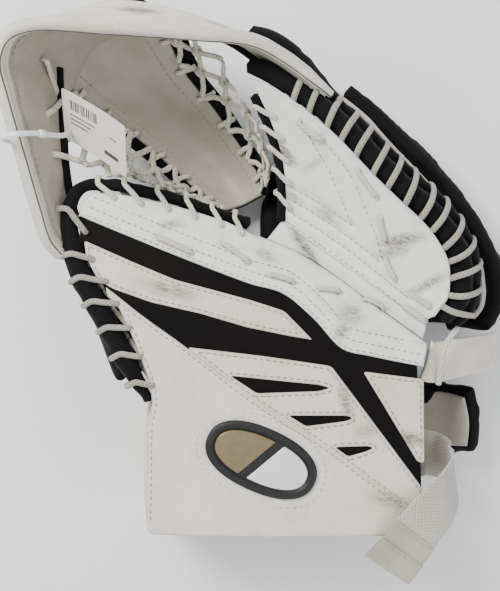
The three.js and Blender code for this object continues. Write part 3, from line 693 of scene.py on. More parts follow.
def leather(name, colour, dirt, grain=620.0, depth=0.00022, roughness=0.5, scuff=0.5, specular=0.42):
    """Coated leather: pebble grain, uneven tone, grime in the edges, and scuffs."""
    m, tree, shader = start_material(name, Specular_IOR_Level=specular)
    at = coordinates(tree, "UV")
    cells = node(tree, "ShaderNodeTexVoronoi", Scale=grain)
    cells.feature = "SMOOTH_F1"
    link(tree, at, cells.inputs["Vector"])
    fine = noise_node(tree, at, grain * 1.9, 3.0)
    broad = noise_node(tree, at, 14.0, 3.0)
    patchy = noise_node(tree, at, 55.0, 5.0, 0.6)
    tone = blend_colour(tree, grey(tree, broad, 0.35, 0.65, 0.0, 0.55), colour, dirt)
    tone = blend_colour(tree, grey(tree, patchy, 0.45, 0.75, 0.0, 0.28), tone, scaled(dirt, 0.93))
    crease_dirt = grey(tree, cells.outputs["Distance"], 0.35, 0.8, 0.0, 0.10)
    tone = blend_colour(tree, crease_dirt, tone, scaled(dirt, 0.6))
    worn_edge = maths(tree, "MULTIPLY", grey(tree, attribute(tree, "rim"), 0.35, 1.0, 0.0, 0.5), patchy)
    tone = blend_colour(tree, worn_edge, tone, scaled(dirt, 0.42))
    if scuff:
        scrape = streaked(tree, at, 0.6, 60.0, 7.0)
        place_of = noise_node(tree, at, 24.0, 2.0)
        amount = maths(tree, "MULTIPLY", grey(tree, scrape, 0.62, 0.72), grey(tree, place_of, 0.6, 0.68))
        marks = maths(tree, "MULTIPLY", amount, scuff)
        tone = blend_colour(tree, marks, tone, (0.13, 0.11, 0.09))
    streaks = grey(tree, streaked(tree, at, -0.5, 150.0, 5.0), 0.30, 0.56)
    scuffed = maths(tree, "MULTIPLY", attribute(tree, "scuff"), streaks)
    tone = blend_colour(tree, scuffed, tone, (0.10, 0.085, 0.07))
    link(tree, tone, shader.inputs["Base Color"])
    rough = maths(tree, "ADD", grey(tree, patchy, 0.3, 0.7, -0.06, 0.1), roughness)
    link(tree, rough, shader.inputs["Roughness"])
    first = bump(tree, shader, cells.outputs["Distance"], depth, 0.55)
    second = bump(tree, shader, fine, depth * 0.5, 0.5, first)
    bump(tree, shader, noise_node(tree, at, 90.0, 4.0), 0.0006, 0.35, second)
    return m


def nylon(name, colour, weave=1500.0, roughness=0.62, coords="UV", sheen=0.25):
    """Woven nylon: crossed ribs, a slight sheen and dust."""
    m, tree, shader = start_material(name, Roughness=roughness, Sheen_Weight=sheen, Specular_IOR_Level=0.15)
    at = coordinates(tree, coords)
    heights = []
    for direction in ("X", "Y"):
        wave = node(tree, "ShaderNodeTexWave", Scale=weave / 6.2832, Distortion=0.6, Detail=1.0)
        wave.bands_direction = direction
        link(tree, at, wave.inputs["Vector"])
        heights.append(wave.outputs["Fac"])
    woven = maths(tree, "MULTIPLY", heights[0], heights[1])
    dust = noise_node(tree, at, 38.0, 5.0, 0.65)
    tone = blend_colour(tree, grey(tree, dust, 0.5, 0.8, 0.0, 0.35), colour, scaled(colour, 2.6, 0.006))
    link(tree, tone, shader.inputs["Base Color"])
    first = bump(tree, shader, woven, 0.00018, 0.5)
    bump(tree, shader, noise_node(tree, at, 110.0, 4.0), 0.0009, 0.45, first)
    return m


def braid(name, colour, dirt, pitch=0.0016, blotch=0.5):
    """Braided or waxed lace: crossed strands along the cord, grime in patches. UV is (metres along, turn)."""
    m, tree, shader = start_material(name, Roughness=0.8, Sheen_Weight=0.2)
    split = tree.nodes.new("ShaderNodeSeparateXYZ")
    link(tree, coordinates(tree, "UV"), split.inputs[0])
    heights = []
    for lean in (1.0, -1.0):
        along = maths(tree, "MULTIPLY", split.outputs["X"], math.pi / pitch)
        around = maths(tree, "MULTIPLY", split.outputs["Y"], lean * 2 * math.pi * 4)
        heights.append(maths(tree, "SINE", maths(tree, "ADD", along, around), 0.0))
    strands = maths(tree, "MAXIMUM", heights[0], heights[1])
    world = coordinates(tree, "Object")
    grime = noise_node(tree, world, 70.0, 5.0, 0.65)
    tone = blend_colour(tree, grey(tree, grime, 0.42, 0.7, 0.0, blotch), colour, dirt)
    tone = blend_colour(tree, grey(tree, strands, 0.1, 0.8, 0.35, 0.0), tone, scaled(dirt, 0.45))
    link(tree, tone, shader.inputs["Base Color"])
    bump(tree, shader, strands, 0.00035, 0.8)
    return m


def webbing_weave(name, colour, dirt):
    """Heavy woven webbing: a raised herringbone of small ribs. UV is in metres."""
    m, tree, shader = start_material(name, Roughness=0.78, Sheen_Weight=0.2)
    at = coordinates(tree, "UV")
    brick = node(tree, "ShaderNodeTexBrick", Scale=1.0, Brick_Width=0.0034, Row_Height=0.0017, Mortar_Size=0.0004,
                 Mortar_Smooth=0.9)
    brick.offset = 0.5
    link(tree, at, brick.inputs["Vector"])
    worn = noise_node(tree, at, 60.0, 5.0, 0.6)
    tone = blend_colour(tree, grey(tree, worn, 0.4, 0.7, 0.0, 0.4), colour, dirt)
    tone = blend_colour(tree, maths(tree, "MULTIPLY", brick.outputs["Fac"], 0.5), tone, scaled(dirt, 0.5))
    link(tree, tone, shader.inputs["Base Color"])
    bump(tree, shader, maths(tree, "SUBTRACT", 1.0, brick.outputs["Fac"]), 0.0005, 0.8)
    return m


def moulded(name, colour, roughness, coat=0.0, speckle=0.15, coords="UV"):
    """Moulded rubber or plastic with a fine surface and slight wear."""
    m, tree, shader = start_material(name, Coat_Weight=coat, Coat_Roughness=0.15)
    at = coordinates(tree, coords)
    worn = noise_node(tree, at, 130.0, 5.0, 0.6)
    tone = blend_colour(tree, grey(tree, worn, 0.45, 0.75, 0.0, speckle), colour, scaled(colour, 1.5, 0.012))
    link(tree, tone, shader.inputs["Base Color"])
    link(tree, grey(tree, worn, 0.3, 0.7, roughness - 0.05, roughness + 0.1), shader.inputs["Roughness"])
    bump(tree, shader, noise_node(tree, at, 900.0, 2.0), 0.00008, 0.5)
    return m


WHITE = leather("white_leather", (0.72, 0.68, 0.59), (0.53, 0.485, 0.395))
PALM = leather("palm_leather", (0.79, 0.79, 0.755), (0.68, 0.67, 0.62), 900.0, 0.00012, roughness=0.42, scuff=0.35)
# A darker copy of the white leather: its colour is painted shade for the pocket's inner faces (the stem, the sheet
# inside the band and the corner leather). It also colours the wrist pad's lining and the strap's end tab.
SHADED = leather("shaded_leather", (0.43, 0.395, 0.325), (0.29, 0.26, 0.195), 900.0, 0.00012, scuff=0.3)
BLACK = leather("black_leather", (0.0016, 0.0012, 0.001), (0.005, 0.004, 0.0033), roughness=0.62, scuff=0,
                specular=0.1)
NYLON = nylon("black_nylon", (0.0022, 0.0022, 0.0027), roughness=0.75, sheen=0.03)
NYLON_PAD = nylon("black_nylon_pad", (0.0026, 0.0026, 0.0031), roughness=0.75, coords="Object", sheen=0.03)
LACE_GREY = braid("lace_grey", (0.40, 0.37, 0.31), (0.20, 0.18, 0.145))
LACE_CREAM = braid("lace_cream", (0.70, 0.665, 0.555), (0.46, 0.42, 0.32), pitch=0.0021)
NET_CORD = braid("net_cord", (0.74, 0.70, 0.58), (0.52, 0.47, 0.35), pitch=0.0024, blotch=0.6)
THREAD = braid("stitch_thread", (0.36, 0.335, 0.285), (0.16, 0.14, 0.12), pitch=0.0006, blotch=0.7)
# A near-black cord colour: painted shade in the groove under the band's lip.
SEAM_GROOVE_SHADE = braid("seam_groove_shade", (0.10, 0.09, 0.075), (0.045, 0.04, 0.035), pitch=0.0011, blotch=0.7)
THREAD_PALE = braid("stitch_thread_pale", (0.60, 0.57, 0.50), (0.30, 0.27, 0.22), pitch=0.0006, blotch=0.7)
WEBBING_CLOTH = webbing_weave("webbing_cloth", (0.57, 0.535, 0.46), (0.42, 0.385, 0.31))
LINING = nylon("lining_cloth", (0.16, 0.155, 0.15), weave=900.0, roughness=0.9, sheen=0.4)
FOAM = moulded("foam_sheet", (0.42, 0.42, 0.40), 0.9, coords="Object")
BOARD = moulded("board_sheet", (0.60, 0.60, 0.57), 0.55, coords="Object")
RUBBER = moulded("badge_rubber", (0.0015, 0.0015, 0.0015), 0.55)
GOLD = moulded("badge_gold", (0.155, 0.115, 0.055), 0.38, coat=0.3, speckle=0.3)
PEARL = moulded("badge_pearl", (0.66, 0.66, 0.65), 0.3, coat=0.4)
CARD = moulded("card_stock", (0.74, 0.70, 0.64), 0.65, speckle=0.1)
INK = moulded("card_bars", (0.06, 0.055, 0.055), 0.7)
NYLON_TIE = moulded("clear_nylon_tie", (0.74, 0.77, 0.79), 0.28, coat=0.3, speckle=0.05)


# ---- Shared surfaces ----
def thumb_patch(edge_a, edge_b):
    """A patch of the thumb half's face between two polylines of [x, y]."""
    first, second = Curve(edge_a, straight=True), Curve(edge_b, straight=True)

    def surface(u, v):
        u, v = np.broadcast_arrays(np.asarray(u, float), np.asarray(v, float))
        xy = mix(first(u.ravel()), second(u.ravel()), v.ravel()[:, None])
        out = np.column_stack([xy, thumb_face(xy[:, 0], xy[:, 1])])
        return out.reshape(u.shape + (3,))

    return surface


BREAK_RAIL = Curve([[25, 58, 58], [60, 33, 65.5], [96, 6, 74], [128, -19, 82]])
RIM = [
    [-5, 158, 103], [12, 152, 104], [26, 143, 104], [57, 119, 104], [87, 89, 103], [103, 74, 102],
    [130, 49, 99], [144, 27, 96], [146, 12, 94], [145, 0, 92], [140, -7, 90], [135, -13, 88],
]
RIM_CURVE = Curve(RIM)


def finger_face(u, v, inset=8.6):
    """The finger half's face: u from the pocket to the heel, v from the break to the rim."""
    u, v = np.broadcast_arrays(np.asarray(u, float), np.asarray(v, float))
    s = u.ravel()
    low, high = BREAK_RAIL(s), RIM_CURVE(s)
    w = v.ravel() * np.maximum(0.5, 1 - inset / np.linalg.norm(high - low, axis=1))
    climb = np.maximum(w, 0) ** mix(1.1, 1.5, np.clip(2 * s, 0, 1))
    bulge = 10 * np.sin(np.pi * w) * (1 - s) ** 3
    x = mix(low[:, 0], high[:, 0], w) + bulge
    out = np.column_stack([x, mix(low[:, 1], high[:, 1], w), mix(low[:, 2], high[:, 2], climb)])
    return out.reshape(u.shape + (3,))


FINGER_EDGE = 2.5  # the finger leather runs on until it meets the front roll


def finger_skin(u, v):
    return finger_face(mix(0.015, 1, np.asarray(u, float)), mix(-0.03, 1, np.asarray(v, float)), FINGER_EDGE)


grid_u, grid_v = np.meshgrid(np.linspace(0, 1, 161), np.linspace(0, 1, 121), indexing="ij")
grid_xy = finger_skin(grid_u, grid_v)[..., :2].reshape(-1, 2)


def finger_point(x, y, lift=0.0):
    """Points on the finger half's face above [x, y], raised by `lift`, with the normals."""
    target = np.stack([np.asarray(x, float), np.asarray(y, float)], -1)
    near = np.array([np.argmin(((grid_xy - t) ** 2).sum(1)) for t in target])
    uv = np.stack([grid_u.ravel()[near], grid_v.ravel()[near]], -1)
    e = 1e-3
    for _ in range(3):
        here = finger_skin(uv[:, 0], uv[:, 1])[:, :2]
        du = (finger_skin(uv[:, 0] + e, uv[:, 1])[:, :2] - here) / e
        dv = (finger_skin(uv[:, 0], uv[:, 1] + e)[:, :2] - here) / e
        det = du[:, 0] * dv[:, 1] - du[:, 1] * dv[:, 0]
        det = np.where(np.abs(det) < 1, 1, det)
        miss = target - here
        step = np.stack([
            (miss[:, 0] * dv[:, 1] - miss[:, 1] * dv[:, 0]) / det,
            (du[:, 0] * miss[:, 1] - du[:, 1] * miss[:, 0]) / det,
        ], -1)
        uv = np.clip(uv + np.clip(step, -0.03, 0.03), 0, 1)
    n = normals_of(finger_skin, uv[:, 0], uv[:, 1], UPWARD)
    return finger_skin(uv[:, 0], uv[:, 1]) + n * np.asarray(lift)[..., None], n


def finger_line(points, lift):
    dense = Curve(points)(np.linspace(0, 1, 80))
    return finger_point(dense[:, 0], dense[:, 1], np.full(len(dense), lift))


def groove(xy, line, width, depth, straight=False):
    """How far a groove along a line sinks the surface at xy."""
    dense = Curve(line, straight)(np.linspace(0, 1, 50))[:, :2]
    away = distance_to(xy, dense, closed=False)
    return -depth * np.exp(-((away / width) ** 2))


def pits(xy, holes, width=2.6, depth=1.6):
    out = np.zeros(len(xy))
    for hole in holes:
        out -= depth * np.exp(-(((xy - hole) ** 2).sum(1)) / (width**2))
    return out


def ripples(points, size, seed):
    """Smooth uneven waves of about unit height at 3-D or 2-D points."""
    rng = np.random.default_rng(seed)
    out = np.zeros(len(points))
    for k in range(7):
        way = unit(rng.normal(size=points.shape[1])) / (size * (0.55 + 0.25 * k))
        out += np.sin(points @ way * 2 * np.pi + rng.uniform(0, 6.3)) / 7 * 1.9
    return out


def modify(piece, kind, **values):
    """Adds a modifier and applies it to the mesh."""
    made = piece.modifiers.new(kind.lower(), kind)
    for key, value in values.items():
        setattr(made, key, value)
    bpy.context.view_layer.update()
    evaluated = piece.evaluated_get(bpy.context.evaluated_depsgraph_get())
    evaluated_mesh = bpy.data.meshes.new_from_object(evaluated)
    old = piece.data
    piece.modifiers.clear()
    piece.data = evaluated_mesh
    evaluated_mesh.name = old.name
    bpy.data.meshes.remove(old)


def coordinates_of(mesh):
    co = np.zeros(len(mesh.vertices) * 3)
    mesh.vertices.foreach_get("co", co)
    return co.reshape(-1, 3)


def inflate(piece, cap):
    """Puffs a pad up with a short cloth simulation; no point moves further than `cap`."""
    modify(piece, "REMESH", mode="VOXEL", voxel_size=0.005, use_smooth_shade=True)
    modify(piece, "SMOOTH", factor=0.5, iterations=3)
    rest = coordinates_of(piece.data)
    cloth = piece.modifiers.new("cloth", "CLOTH")
    cloth.settings.quality = 4
    cloth.settings.use_pressure = True
    cloth.settings.uniform_pressure_force = 4.0
    cloth.settings.effector_weights.gravity = 0
    cloth.settings.tension_stiffness = 20
    cloth.settings.compression_stiffness = 20
    cloth.settings.bending_stiffness = 0.8
    cloth.point_cache.frame_start = 1
    cloth.point_cache.frame_end = 20
    for frame_number in range(1, 21):
        bpy.context.scene.frame_set(frame_number)
    moved = piece.evaluated_get(bpy.context.evaluated_depsgraph_get()).data
    shift = coordinates_of(moved) - rest
    piece.modifiers.clear()
    bpy.context.scene.frame_set(1)
    far = np.maximum(np.linalg.norm(shift, axis=1, keepdims=True), 1e-9)
    shift *= np.minimum(1, cap / far)
    piece.data.vertices.foreach_set("co", (rest + shift).ravel())
    piece.data.update()
    modify(piece, "SUBSURF", levels=1, render_levels=1)
    piece.data.shade_smooth()
    return piece


def seam_grooves(piece, lines, width=2.0, depth=1.4):
    """Presses seam lines, given in design millimetres, into a finished pad."""
    mesh = piece.data
    co = coordinates_of(mesh)
    design = (co - SHIFT) * 1000
    normal = np.zeros(len(mesh.vertices) * 3)
    mesh.vertices.foreach_get("normal", normal)
    normal = normal.reshape(-1, 3)
    sink = np.zeros(len(co))
    for line in lines:
        away = distance_to(design, line, closed=False)
        sink = np.maximum(sink, depth * np.exp(-((away / width) ** 2)))
    mesh.vertices.foreach_set("co", (co - normal * sink[:, None] / 1000).ravel())
    mesh.update()


# ---- Thumb half: palm and graphics ----
POCKET_SIDE = [[-121, 68], [-115, 73.5], [-96, 74], [-80, 71.5], [-60, 67.5], [-38, 62], [-20, 56], [3, 46]]
STRIPE_TOP = [
    [-124, 58], [-106, 50.5], [-84, 41.5], [-48, 27], [0, 9], [24, 2], [47, -17], [67, -38.5], [88, -44], [127, -52],
]
SEAM = [[-104, 6], [-95, -1], [-80, -13], [-47, -37], [3, -75], [57, -110], [84, -131], [115, -154], [126, -162]]
OVERLAY = 1.6


def soft_line(points, count=60):
    """A polyline with smooth bends."""
    return Curve([[x, y, 0] for x, y in points])(np.linspace(0, 1, count))[:, :2]


stripe_top = soft_line(STRIPE_TOP)
break_edge = soft_line([[8, 45], [45, 27.5], [90, -5], [130, -35]])
pocket_edge = soft_line(POCKET_SIDE)
palm_outline = np.concatenate([pocket_edge, break_edge, stripe_top[::-1]])

THUMB_LACES = [
    [[-67, 42], [-42, 31]], [[-20, 38], [-1, 24]], [[15, 15], [32, 10]], [[51, 5], [66, 3]], [[85, -3], [98, -9]],
]
THUMB_EDGE = [
    [-108, 81, 83], [-117, 81, 84], [-125, 77, 86], [-130, 68, 88], [-132, 56, 89], [-130, 41, 90], [-127, 26, 90],
    [-120, 9, 90], [-112, -6, 89], [-101, -26, 88], [-91, -46, 87.5], [-81, -64, 87], [-73, -77, 85],
]
THUMB_POCKET_EDGE = [
    [-112, 81, 83], [-98, 81, 82], [-80, 77, 78], [-60, 73, 72], [-40, 67, 66], [-20, 60.5, 60], [0, 54.5, 56],
]
THUMB_HOLES = [[-119, 46], [-112.5, 26], [-103, 10], [-95, -6], [-86.2, -23.3], [-78.5, -44], [-69.5, -65]]
THUMB_OUTER = [[-135, 62], [-136, 28], [-127, 11], [-118, -6], [-109, -26], [-99, -45], [-86, -64]]


def across_break(xy):
    return (xy[:, 0] - CROTCH[0]) * fold_across[0] + (xy[:, 1] - CROTCH[1]) * fold_across[1]


POCKET_HOLES = [[-98, 70.5], [-78.6, 66.2], [-59.2, 62.5], [-39.7, 57.2], [-20.8, 51.5], [-6, 45.5]]
POCKET_OUTER = [[-111, 84], [-92.8, 81], [-70, 77], [-49, 71], [-30.5, 64.5], [-13, 58.5]]
palm_lace_holes = [end for pair in THUMB_LACES for end in pair]


def palm_relief(x, y, rim):
    xy = np.stack([x, y], -1)
    f = across_break(xy)
    out = -0.9 * np.exp(-(((f + 14) / 1.5) ** 2)) - 0.7 * np.exp(-(((f + 24) / 1.8) ** 2))
    out += pits(xy, palm_lace_holes) + pits(xy, POCKET_HOLES, 2.2, 1.4) + pits(xy, THUMB_HOLES, 2.2, 1.4)
    for gap in (2.2, 8.5, 16.5):
        out += groove(xy, stripe_top + unit([0.35, 1.0]) * gap, 0.8, 0.5, straight=True)
    fold = np.exp(-(np.minimum(np.abs(f + 19), 40) / 16) ** 2)
    out += (0.35 + 0.6 * fold) * ripples(xy @ np.array([[1, 0.0], [0, 1.9]]), 30, 3) * 0.6
    return out + 0.12 * ripples(xy, 7, 4)


palm_thumb = overlay("palm_thumb", palm_outline, PALM, 0, 2.4, relief=palm_relief, cell=1.9, edge=1.1)
place(palm_thumb, "thumb_half", "white_leather", "palm_thumb_skin")

black_outline = np.concatenate([stripe_top + [0, 3], soft_line(SEAM)[::-1] - [0, 3],
                                [[-106, 8], [-117, 26], [-123, 45]]])
black_outline = [p for p in black_outline if p[0] < 126.5]
black_base = overlay("graphic_black", black_outline, BLACK, -OVERLAY, OVERLAY, edge=0.6,
                     relief=lambda x, y, rim: 0.10 * ripples(np.stack([x, y], -1), 12, 8))
place(black_base, "thumb_half", "black_leather", "graphic_base_black")


def white_relief(x, y, rim):
    xy = np.stack([x, y], -1)
    plump = 0.35 * (1 - np.exp(-rim / 3.0))
    return plump - 0.45 * np.exp(-(((rim - 2.6) / 0.7) ** 2)) + 0.12 * ripples(xy, 16, 5)


UPPER_STRIPE = [
    [-120, 40], [-84, 24], [-54, 11.5], [0, -3], [25, -11], [44, -30.5],
    [45, -32], [30, -29.5], [-2, -23], [-36, -13], [-71, -5], [-98, 4.5], [-106, 9], [-111, 13.5], [-118, 27],
]
SLOTTED_STRIPE = [
    [-44, -37.4], [12, -44], [59, -51], [124, -138], [126.5, -143], [126.5, -163],
    [113.9, -154.4], [82.9, -131.4], [55.9, -110.4], [1.9, -75.4], [-43.8, -39.6],
]
SLOTS = [
    [[-14, -58], [50, -64.5], [58, -66.8], [50, -69], [5, -70.5]],
    [[28, -86.5], [70, -86.8], [74.5, -88.6], [70, -90.6], [40.5, -94.2]],
    [[61.5, -109.3], [85, -108.8], [89.5, -110.2], [85, -112.4], [71, -116.2]],
]
SIDE_STRIPE = [[82, -55], [127, -61], [127, -122], [122, -121]]
slots = [fillet(slot, 2.2) for slot in SLOTS]
upper = overlay("stripe_upper", fillet(UPPER_STRIPE, 3), WHITE, 0, OVERLAY, relief=white_relief)
place(upper, "thumb_half", "white_leather", "stripe_overlay_upper")
slotted = overlay("stripe_slotted", fillet(SLOTTED_STRIPE, 3), WHITE, 0, OVERLAY, slots, relief=white_relief, cell=2.0)
place(slotted, "thumb_half", "white_leather", "stripe_overlay_slotted")
side_stripe = overlay("stripe_side", fillet(SIDE_STRIPE, 3), WHITE, 0, OVERLAY, relief=white_relief)
place(side_stripe, "thumb_half", "white_leather", "stripe_overlay_side")

# ---- Cuff ----
BADGE = {"x": 8.0, "y": -118.0, "length": 84.0, "width": 46.0, "tilt": -0.42}
cuff_seam = soft_line(np.array(SEAM) + [0, 0.3])
cuff_outline = np.concatenate([cuff_seam, [[126.6, -170]], fillet([[127, -168], [127, -173.6], [60, -174]], 4, False),
                               [[-20, -174]], fillet([[-20, -174], [-75, -173.5], [-75.5, -160]], 6, False),
                               [[-75, -120], [-74.5, -92], [-71, -78], [-73, -62], [-83, -34], [-94, -10], [-103, 0]]])


def turned(points):
    """Points of the badge's own frame, x along it and y across, on the design's plane."""
    c, s = math.cos(BADGE["tilt"]), math.sin(BADGE["tilt"])
    return np.asarray(points) @ np.array([[c, s], [-s, c]]) + [BADGE["x"], BADGE["y"]]


def oval(length, width, count=120, power=2.3):
    a = np.linspace(0, 2 * np.pi, count, endpoint=False)
    c, s = np.cos(a), np.sin(a)
    return np.stack([size / 2 * np.sign(w) * np.abs(w) ** (2 / power) for size, w in ((length, c), (width, s))], -1)


badge_patch = turned(oval(BADGE["length"] + 17, BADGE["width"] + 17))


def cuff_relief(x, y, rim):
    xy = np.stack([x, y], -1)
    out = 0.5 * (1 - np.exp(-rim / 4.0)) - 0.45 * np.exp(-(((rim - 3.0) / 0.8) ** 2))
    out -= 0.5 * np.exp(-((distance_to(xy, badge_patch) / 0.8) ** 2))
    out += 0.3 * ripples(xy, 46, 6) * (1 - np.exp(-rim / 12)) + 0.1 * ripples(xy, 11, 7)
    corner = np.exp(-(((x - 127) / 30) ** 2) - (((y + 173) / 28) ** 2))
    return out + 0.5 * corner * ripples(xy, 17, 9)


cuff = overlay("cuff_face", cuff_outline, WHITE, 0, 3.0, relief=cuff_relief, edge=1.5)
place(cuff, "thumb_half", "white_leather", "cuff_panel")

cuff_wall = Loft([
    [[-75, -88, 86], [-75.5, -130, 86], [-75, -170, 86]],
    [[-77, -86, 70], [-78, -128, 70], [-77, -171, 70]],
    [[-79, -82, 36], [-80, -126, 36], [-79, -171, 36]],
    [[-76, -80, 1], [-77, -124, 1], [-76, -171, 1]],
])


def wall_relief(u, v, p, rim):
    return 1.1 * (1 - np.exp(-rim / 7)) + 0.35 * ripples(p.reshape(-1, 3), 26, 10).reshape(rim.shape)


side_wall = skin("cuff_side", cuff_wall, 7.5, WHITE, [-1, 0, 0], edge=2.6, relief=wall_relief)
place(side_wall, "thumb_half", "white_leather", "cuff_side_panel")

CORE_A = [
    [-108, 58], [-78, 55], [-39, 48], [2, 37], [14, 34], [45, 19], [88, -14], [120, -38], [122, -60], [122, -168],
]
CORE_B = [[-108, 48], [-92, 0], [-80, -34], [-69, -62], [-66, -80], [-66, -168]]
core = thumb_patch(CORE_A, CORE_B)
UNDER = 4.4
for name, top, thick, material, slot, node_name in (
    ("inner_foam", UNDER, 11, FOAM, "foam", "thumb_foam"),
    ("inner_board", UNDER + 11.4, 3, BOARD, "board", "cuff_board"),
    ("inner_lining", UNDER + 14.8, 2, LINING, "lining", "cuff_lining"),
):
    layer = skin(name, core, thick, material, UPWARD, depth=top, cell=5)
    place(layer, "thumb_half", slot, node_name)

# ---- Badge: a plain oval with a raised border round two fields ----
badge_seat = thumb_face(BADGE["x"], BADGE["y"]) + 0.4


def oval_dome(name, length, width, profile, material):
    """An oval body from a profile of (millimetres in from its edge, height)."""
    count = 120
    rings = [np.column_stack([turned(oval(length - 2 * inset, width - 2 * inset, count)),
                              np.full(count, badge_seat + h)]) for inset, h in profile]
    verts = np.concatenate(rings + [[[*turned([[0, 0]])[0], badge_seat + profile[-1][1]]]])
    faces = [tuple(range(count))[::-1]]
    for r in range(len(rings) - 1):
        for i in range(count):
            j = (i + 1) % count
            faces.append((r * count + i, r * count + j, (r + 1) * count + j, (r + 1) * count + i))
    last = (len(rings) - 1) * count
    faces += [(last + i, last + (i + 1) % count, len(verts) - 1) for i in range(count)]
    uv = verts[:, :2] / 1000
    return new_piece(name, verts, faces, material, uv)


border = [(0, -1.2), (0, 1.6), (0.5, 2.4), (1.4, 3.0), (4.2, 3.1), (5.2, 2.6), (5.6, 1.6), (12, 1.6)]
badge = oval_dome("badge_border", BADGE["length"], BADGE["width"], border, RUBBER)
place(badge, "thumb_half", "badge_black", "badge_plate")


def badge_field(name, loop, height, material):
    """A domed inlay cut to a loop in the badge's own frame."""
    loops = [turned(inset_loop(loop, d)[:-1]) if d else turned(loop) for d in (0, 0.5, 1.4)]
    heights = (height - 1.5, height, height + 0.35)
    made = []
    for ring, h in zip(loops, heights):
        made.append(np.column_stack([resample_even(ring, 90), np.full(90, badge_seat + h)]))
    middle = made[-1].mean(0)
    verts = np.concatenate([*made, [middle]])
    faces = []
    for r in range(2):
        for i in range(90):
            j = (i + 1) % 90
            faces.append((r * 90 + i, r * 90 + j, (r + 1) * 90 + j, (r + 1) * 90 + i))
    faces += [(180 + i, 180 + (i + 1) % 90, 270) for i in range(90)]
    return new_piece(name, verts, faces, material, verts[:, :2] / 1000)


def resample_even(loop, count):
    """A closed 2-D loop as `count` points that are evenly spaced, starting at its rightmost point."""
    loop = np.roll(loop, -int(np.argmax(loop[:, 0])), axis=0)
    closed = np.concatenate([loop, loop[:1]])
    run = run_along(closed)
    s = np.linspace(0, run[-1], count, endpoint=False)
    return np.stack([np.interp(s, run, closed[:, i]) for i in range(2)], -1)


field = oval(BADGE["length"] - 13, BADGE["width"] - 13)
BAR = 2.2  # half the width of the bar between the two fields
lean = 9.0
left_field = np.array([p for p in field if p[0] < -BAR + lean * p[1] / 20])
right_field = np.array([p for p in field if p[0] > BAR + lean * p[1] / 20])
gold = badge_field("badge_gold_field", fillet(left_field, 1.5, steps=3), 2.2, GOLD)
pearl = badge_field("badge_pearl_field", fillet(right_field, 1.5, steps=3), 2.2, PEARL)
place(gold, "thumb_half", "badge_gold", "badge_inlay")
place(pearl, "thumb_half", "badge_gold")

# ---- Thumb half: rolls and laces ----
def thumb_taper(t):
    return mix(4.4, EDGE_ROLL + 0.3, smooth((t - 0.06) / 0.4)) * mix(1, 0.45, smooth((t - 0.8) / 0.2))


thumb_roll = roll_piece("thumb_roll", THUMB_EDGE, thumb_taper, NYLON, steps=130, waists=6, t0=0.3, t1=0.98)
place(thumb_roll, "thumb_half", "black_nylon", "thumb_edge_roll")


thumb_lace = wrap_lace("thumb_lace", THUMB_EDGE, EDGE_ROLL - 0.4, nearest_t(THUMB_EDGE, THUMB_OUTER),
                       *on_thumb(THUMB_HOLES), LACE_GREY, 2.15)
place(thumb_lace, "thumb_half", "lace", "thumb_edge_lace")

pocket_roll = roll_piece("thumb_pocket_edge", THUMB_POCKET_EDGE, POCKET_ROLL, NYLON, waists=6, t0=0.04, t1=0.96)
place(pocket_roll, "thumb_half", "black_nylon", "thumb_pocket_roll")
pocket_lace = wrap_lace("thumb_pocket_loops", THUMB_POCKET_EDGE, POCKET_ROLL,
                        nearest_t(THUMB_POCKET_EDGE, POCKET_OUTER), *on_thumb(POCKET_HOLES), LACE_CREAM)
place(pocket_lace, "thumb_half", "lace", "thumb_pocket_lace")


def lace_stitch(name, point, a, b, body, *nodes, width=2.1):
    """A lace that shows between two holes in the palm: it rises out of one and dives into the other."""
    a, b = np.array(a, float), np.array(b, float)
    along = unit(b - a)
    t = np.linspace(0, 1, 26)
    xy = a - along * 1.5 + (b - a + along * 3)[None] * t[:, None]
    lift = -3.4 + 5.6 * np.minimum(1, np.sin(np.pi * t) * 2.6) + 0.5 * np.sin(np.pi * t)
    p, n = point(xy[:, 0], xy[:, 1], lift)
    piece = tube(name, p, width, LACE_CREAM, sides=10, flat=0.62, normals=n)
    return place(piece, body, "lace", *nodes)


thumb_nodes = {0: "palm_lace_thumb_1", 1: "palm_lace_thumb_2", 3: "palm_lace_thumb_3"}
for k, (a, b) in enumerate(THUMB_LACES):
    lace_stitch(f"thumb_palm_lace_{k + 1}", thumb_point, a, b, "thumb_half", *filter(None, [thumb_nodes.get(k)]))

# ---- Thumb half: pads behind the palm ----
THUMB_BACK = Loft([
    [[-115, 60, 75], [-117, 22, 75], [-103, -20, 75], [-87, -62, 75]],
    [[-112, 60, 42], [-115, 22, 42], [-102, -20, 42], [-88, -62, 42]],
    [[-78, 58, 18], [-84, 22, 16], [-78, -16, 16], [-70, -60, 18]],
    [[-20, 44, 16], [-20, 14, 12], [-24, -14, 12], [-30, -58, 14]],
])


def part_of(surface, u0, u1, v0, v1):
    return lambda u, v: surface(mix(u0, u1, np.asarray(u, float)), mix(v0, v1, np.asarray(v, float)))


FLOOR_GAP = 0.0002  # metres; a pad that rests on the floor is flat there


def padded_panel(name, surface, thickness, facing, body, node_name, seams, cap=0.0035):
    """A stuffed nylon pad on a surface, puffed up by a simulation, with its panel seams pressed in."""
    pad = skin(name, surface, thickness, NYLON_PAD, facing, cell=4, edge=4.5)
    inflate(pad, cap)
    lines = []
    for seam in seams:
        path = Curve(seam, straight=True)(np.linspace(0, 1, 40))
        lines.append(surface(path[:, 0], path[:, 1]) - normals_of(surface, path[:, 0], path[:, 1], facing) * thickness)
    seam_grooves(pad, lines)
    for vertex in pad.data.vertices:
        vertex.co.z = max(vertex.co.z, FLOOR_GAP)
    place(pad, body, "black_nylon", node_name, fill=0.6)


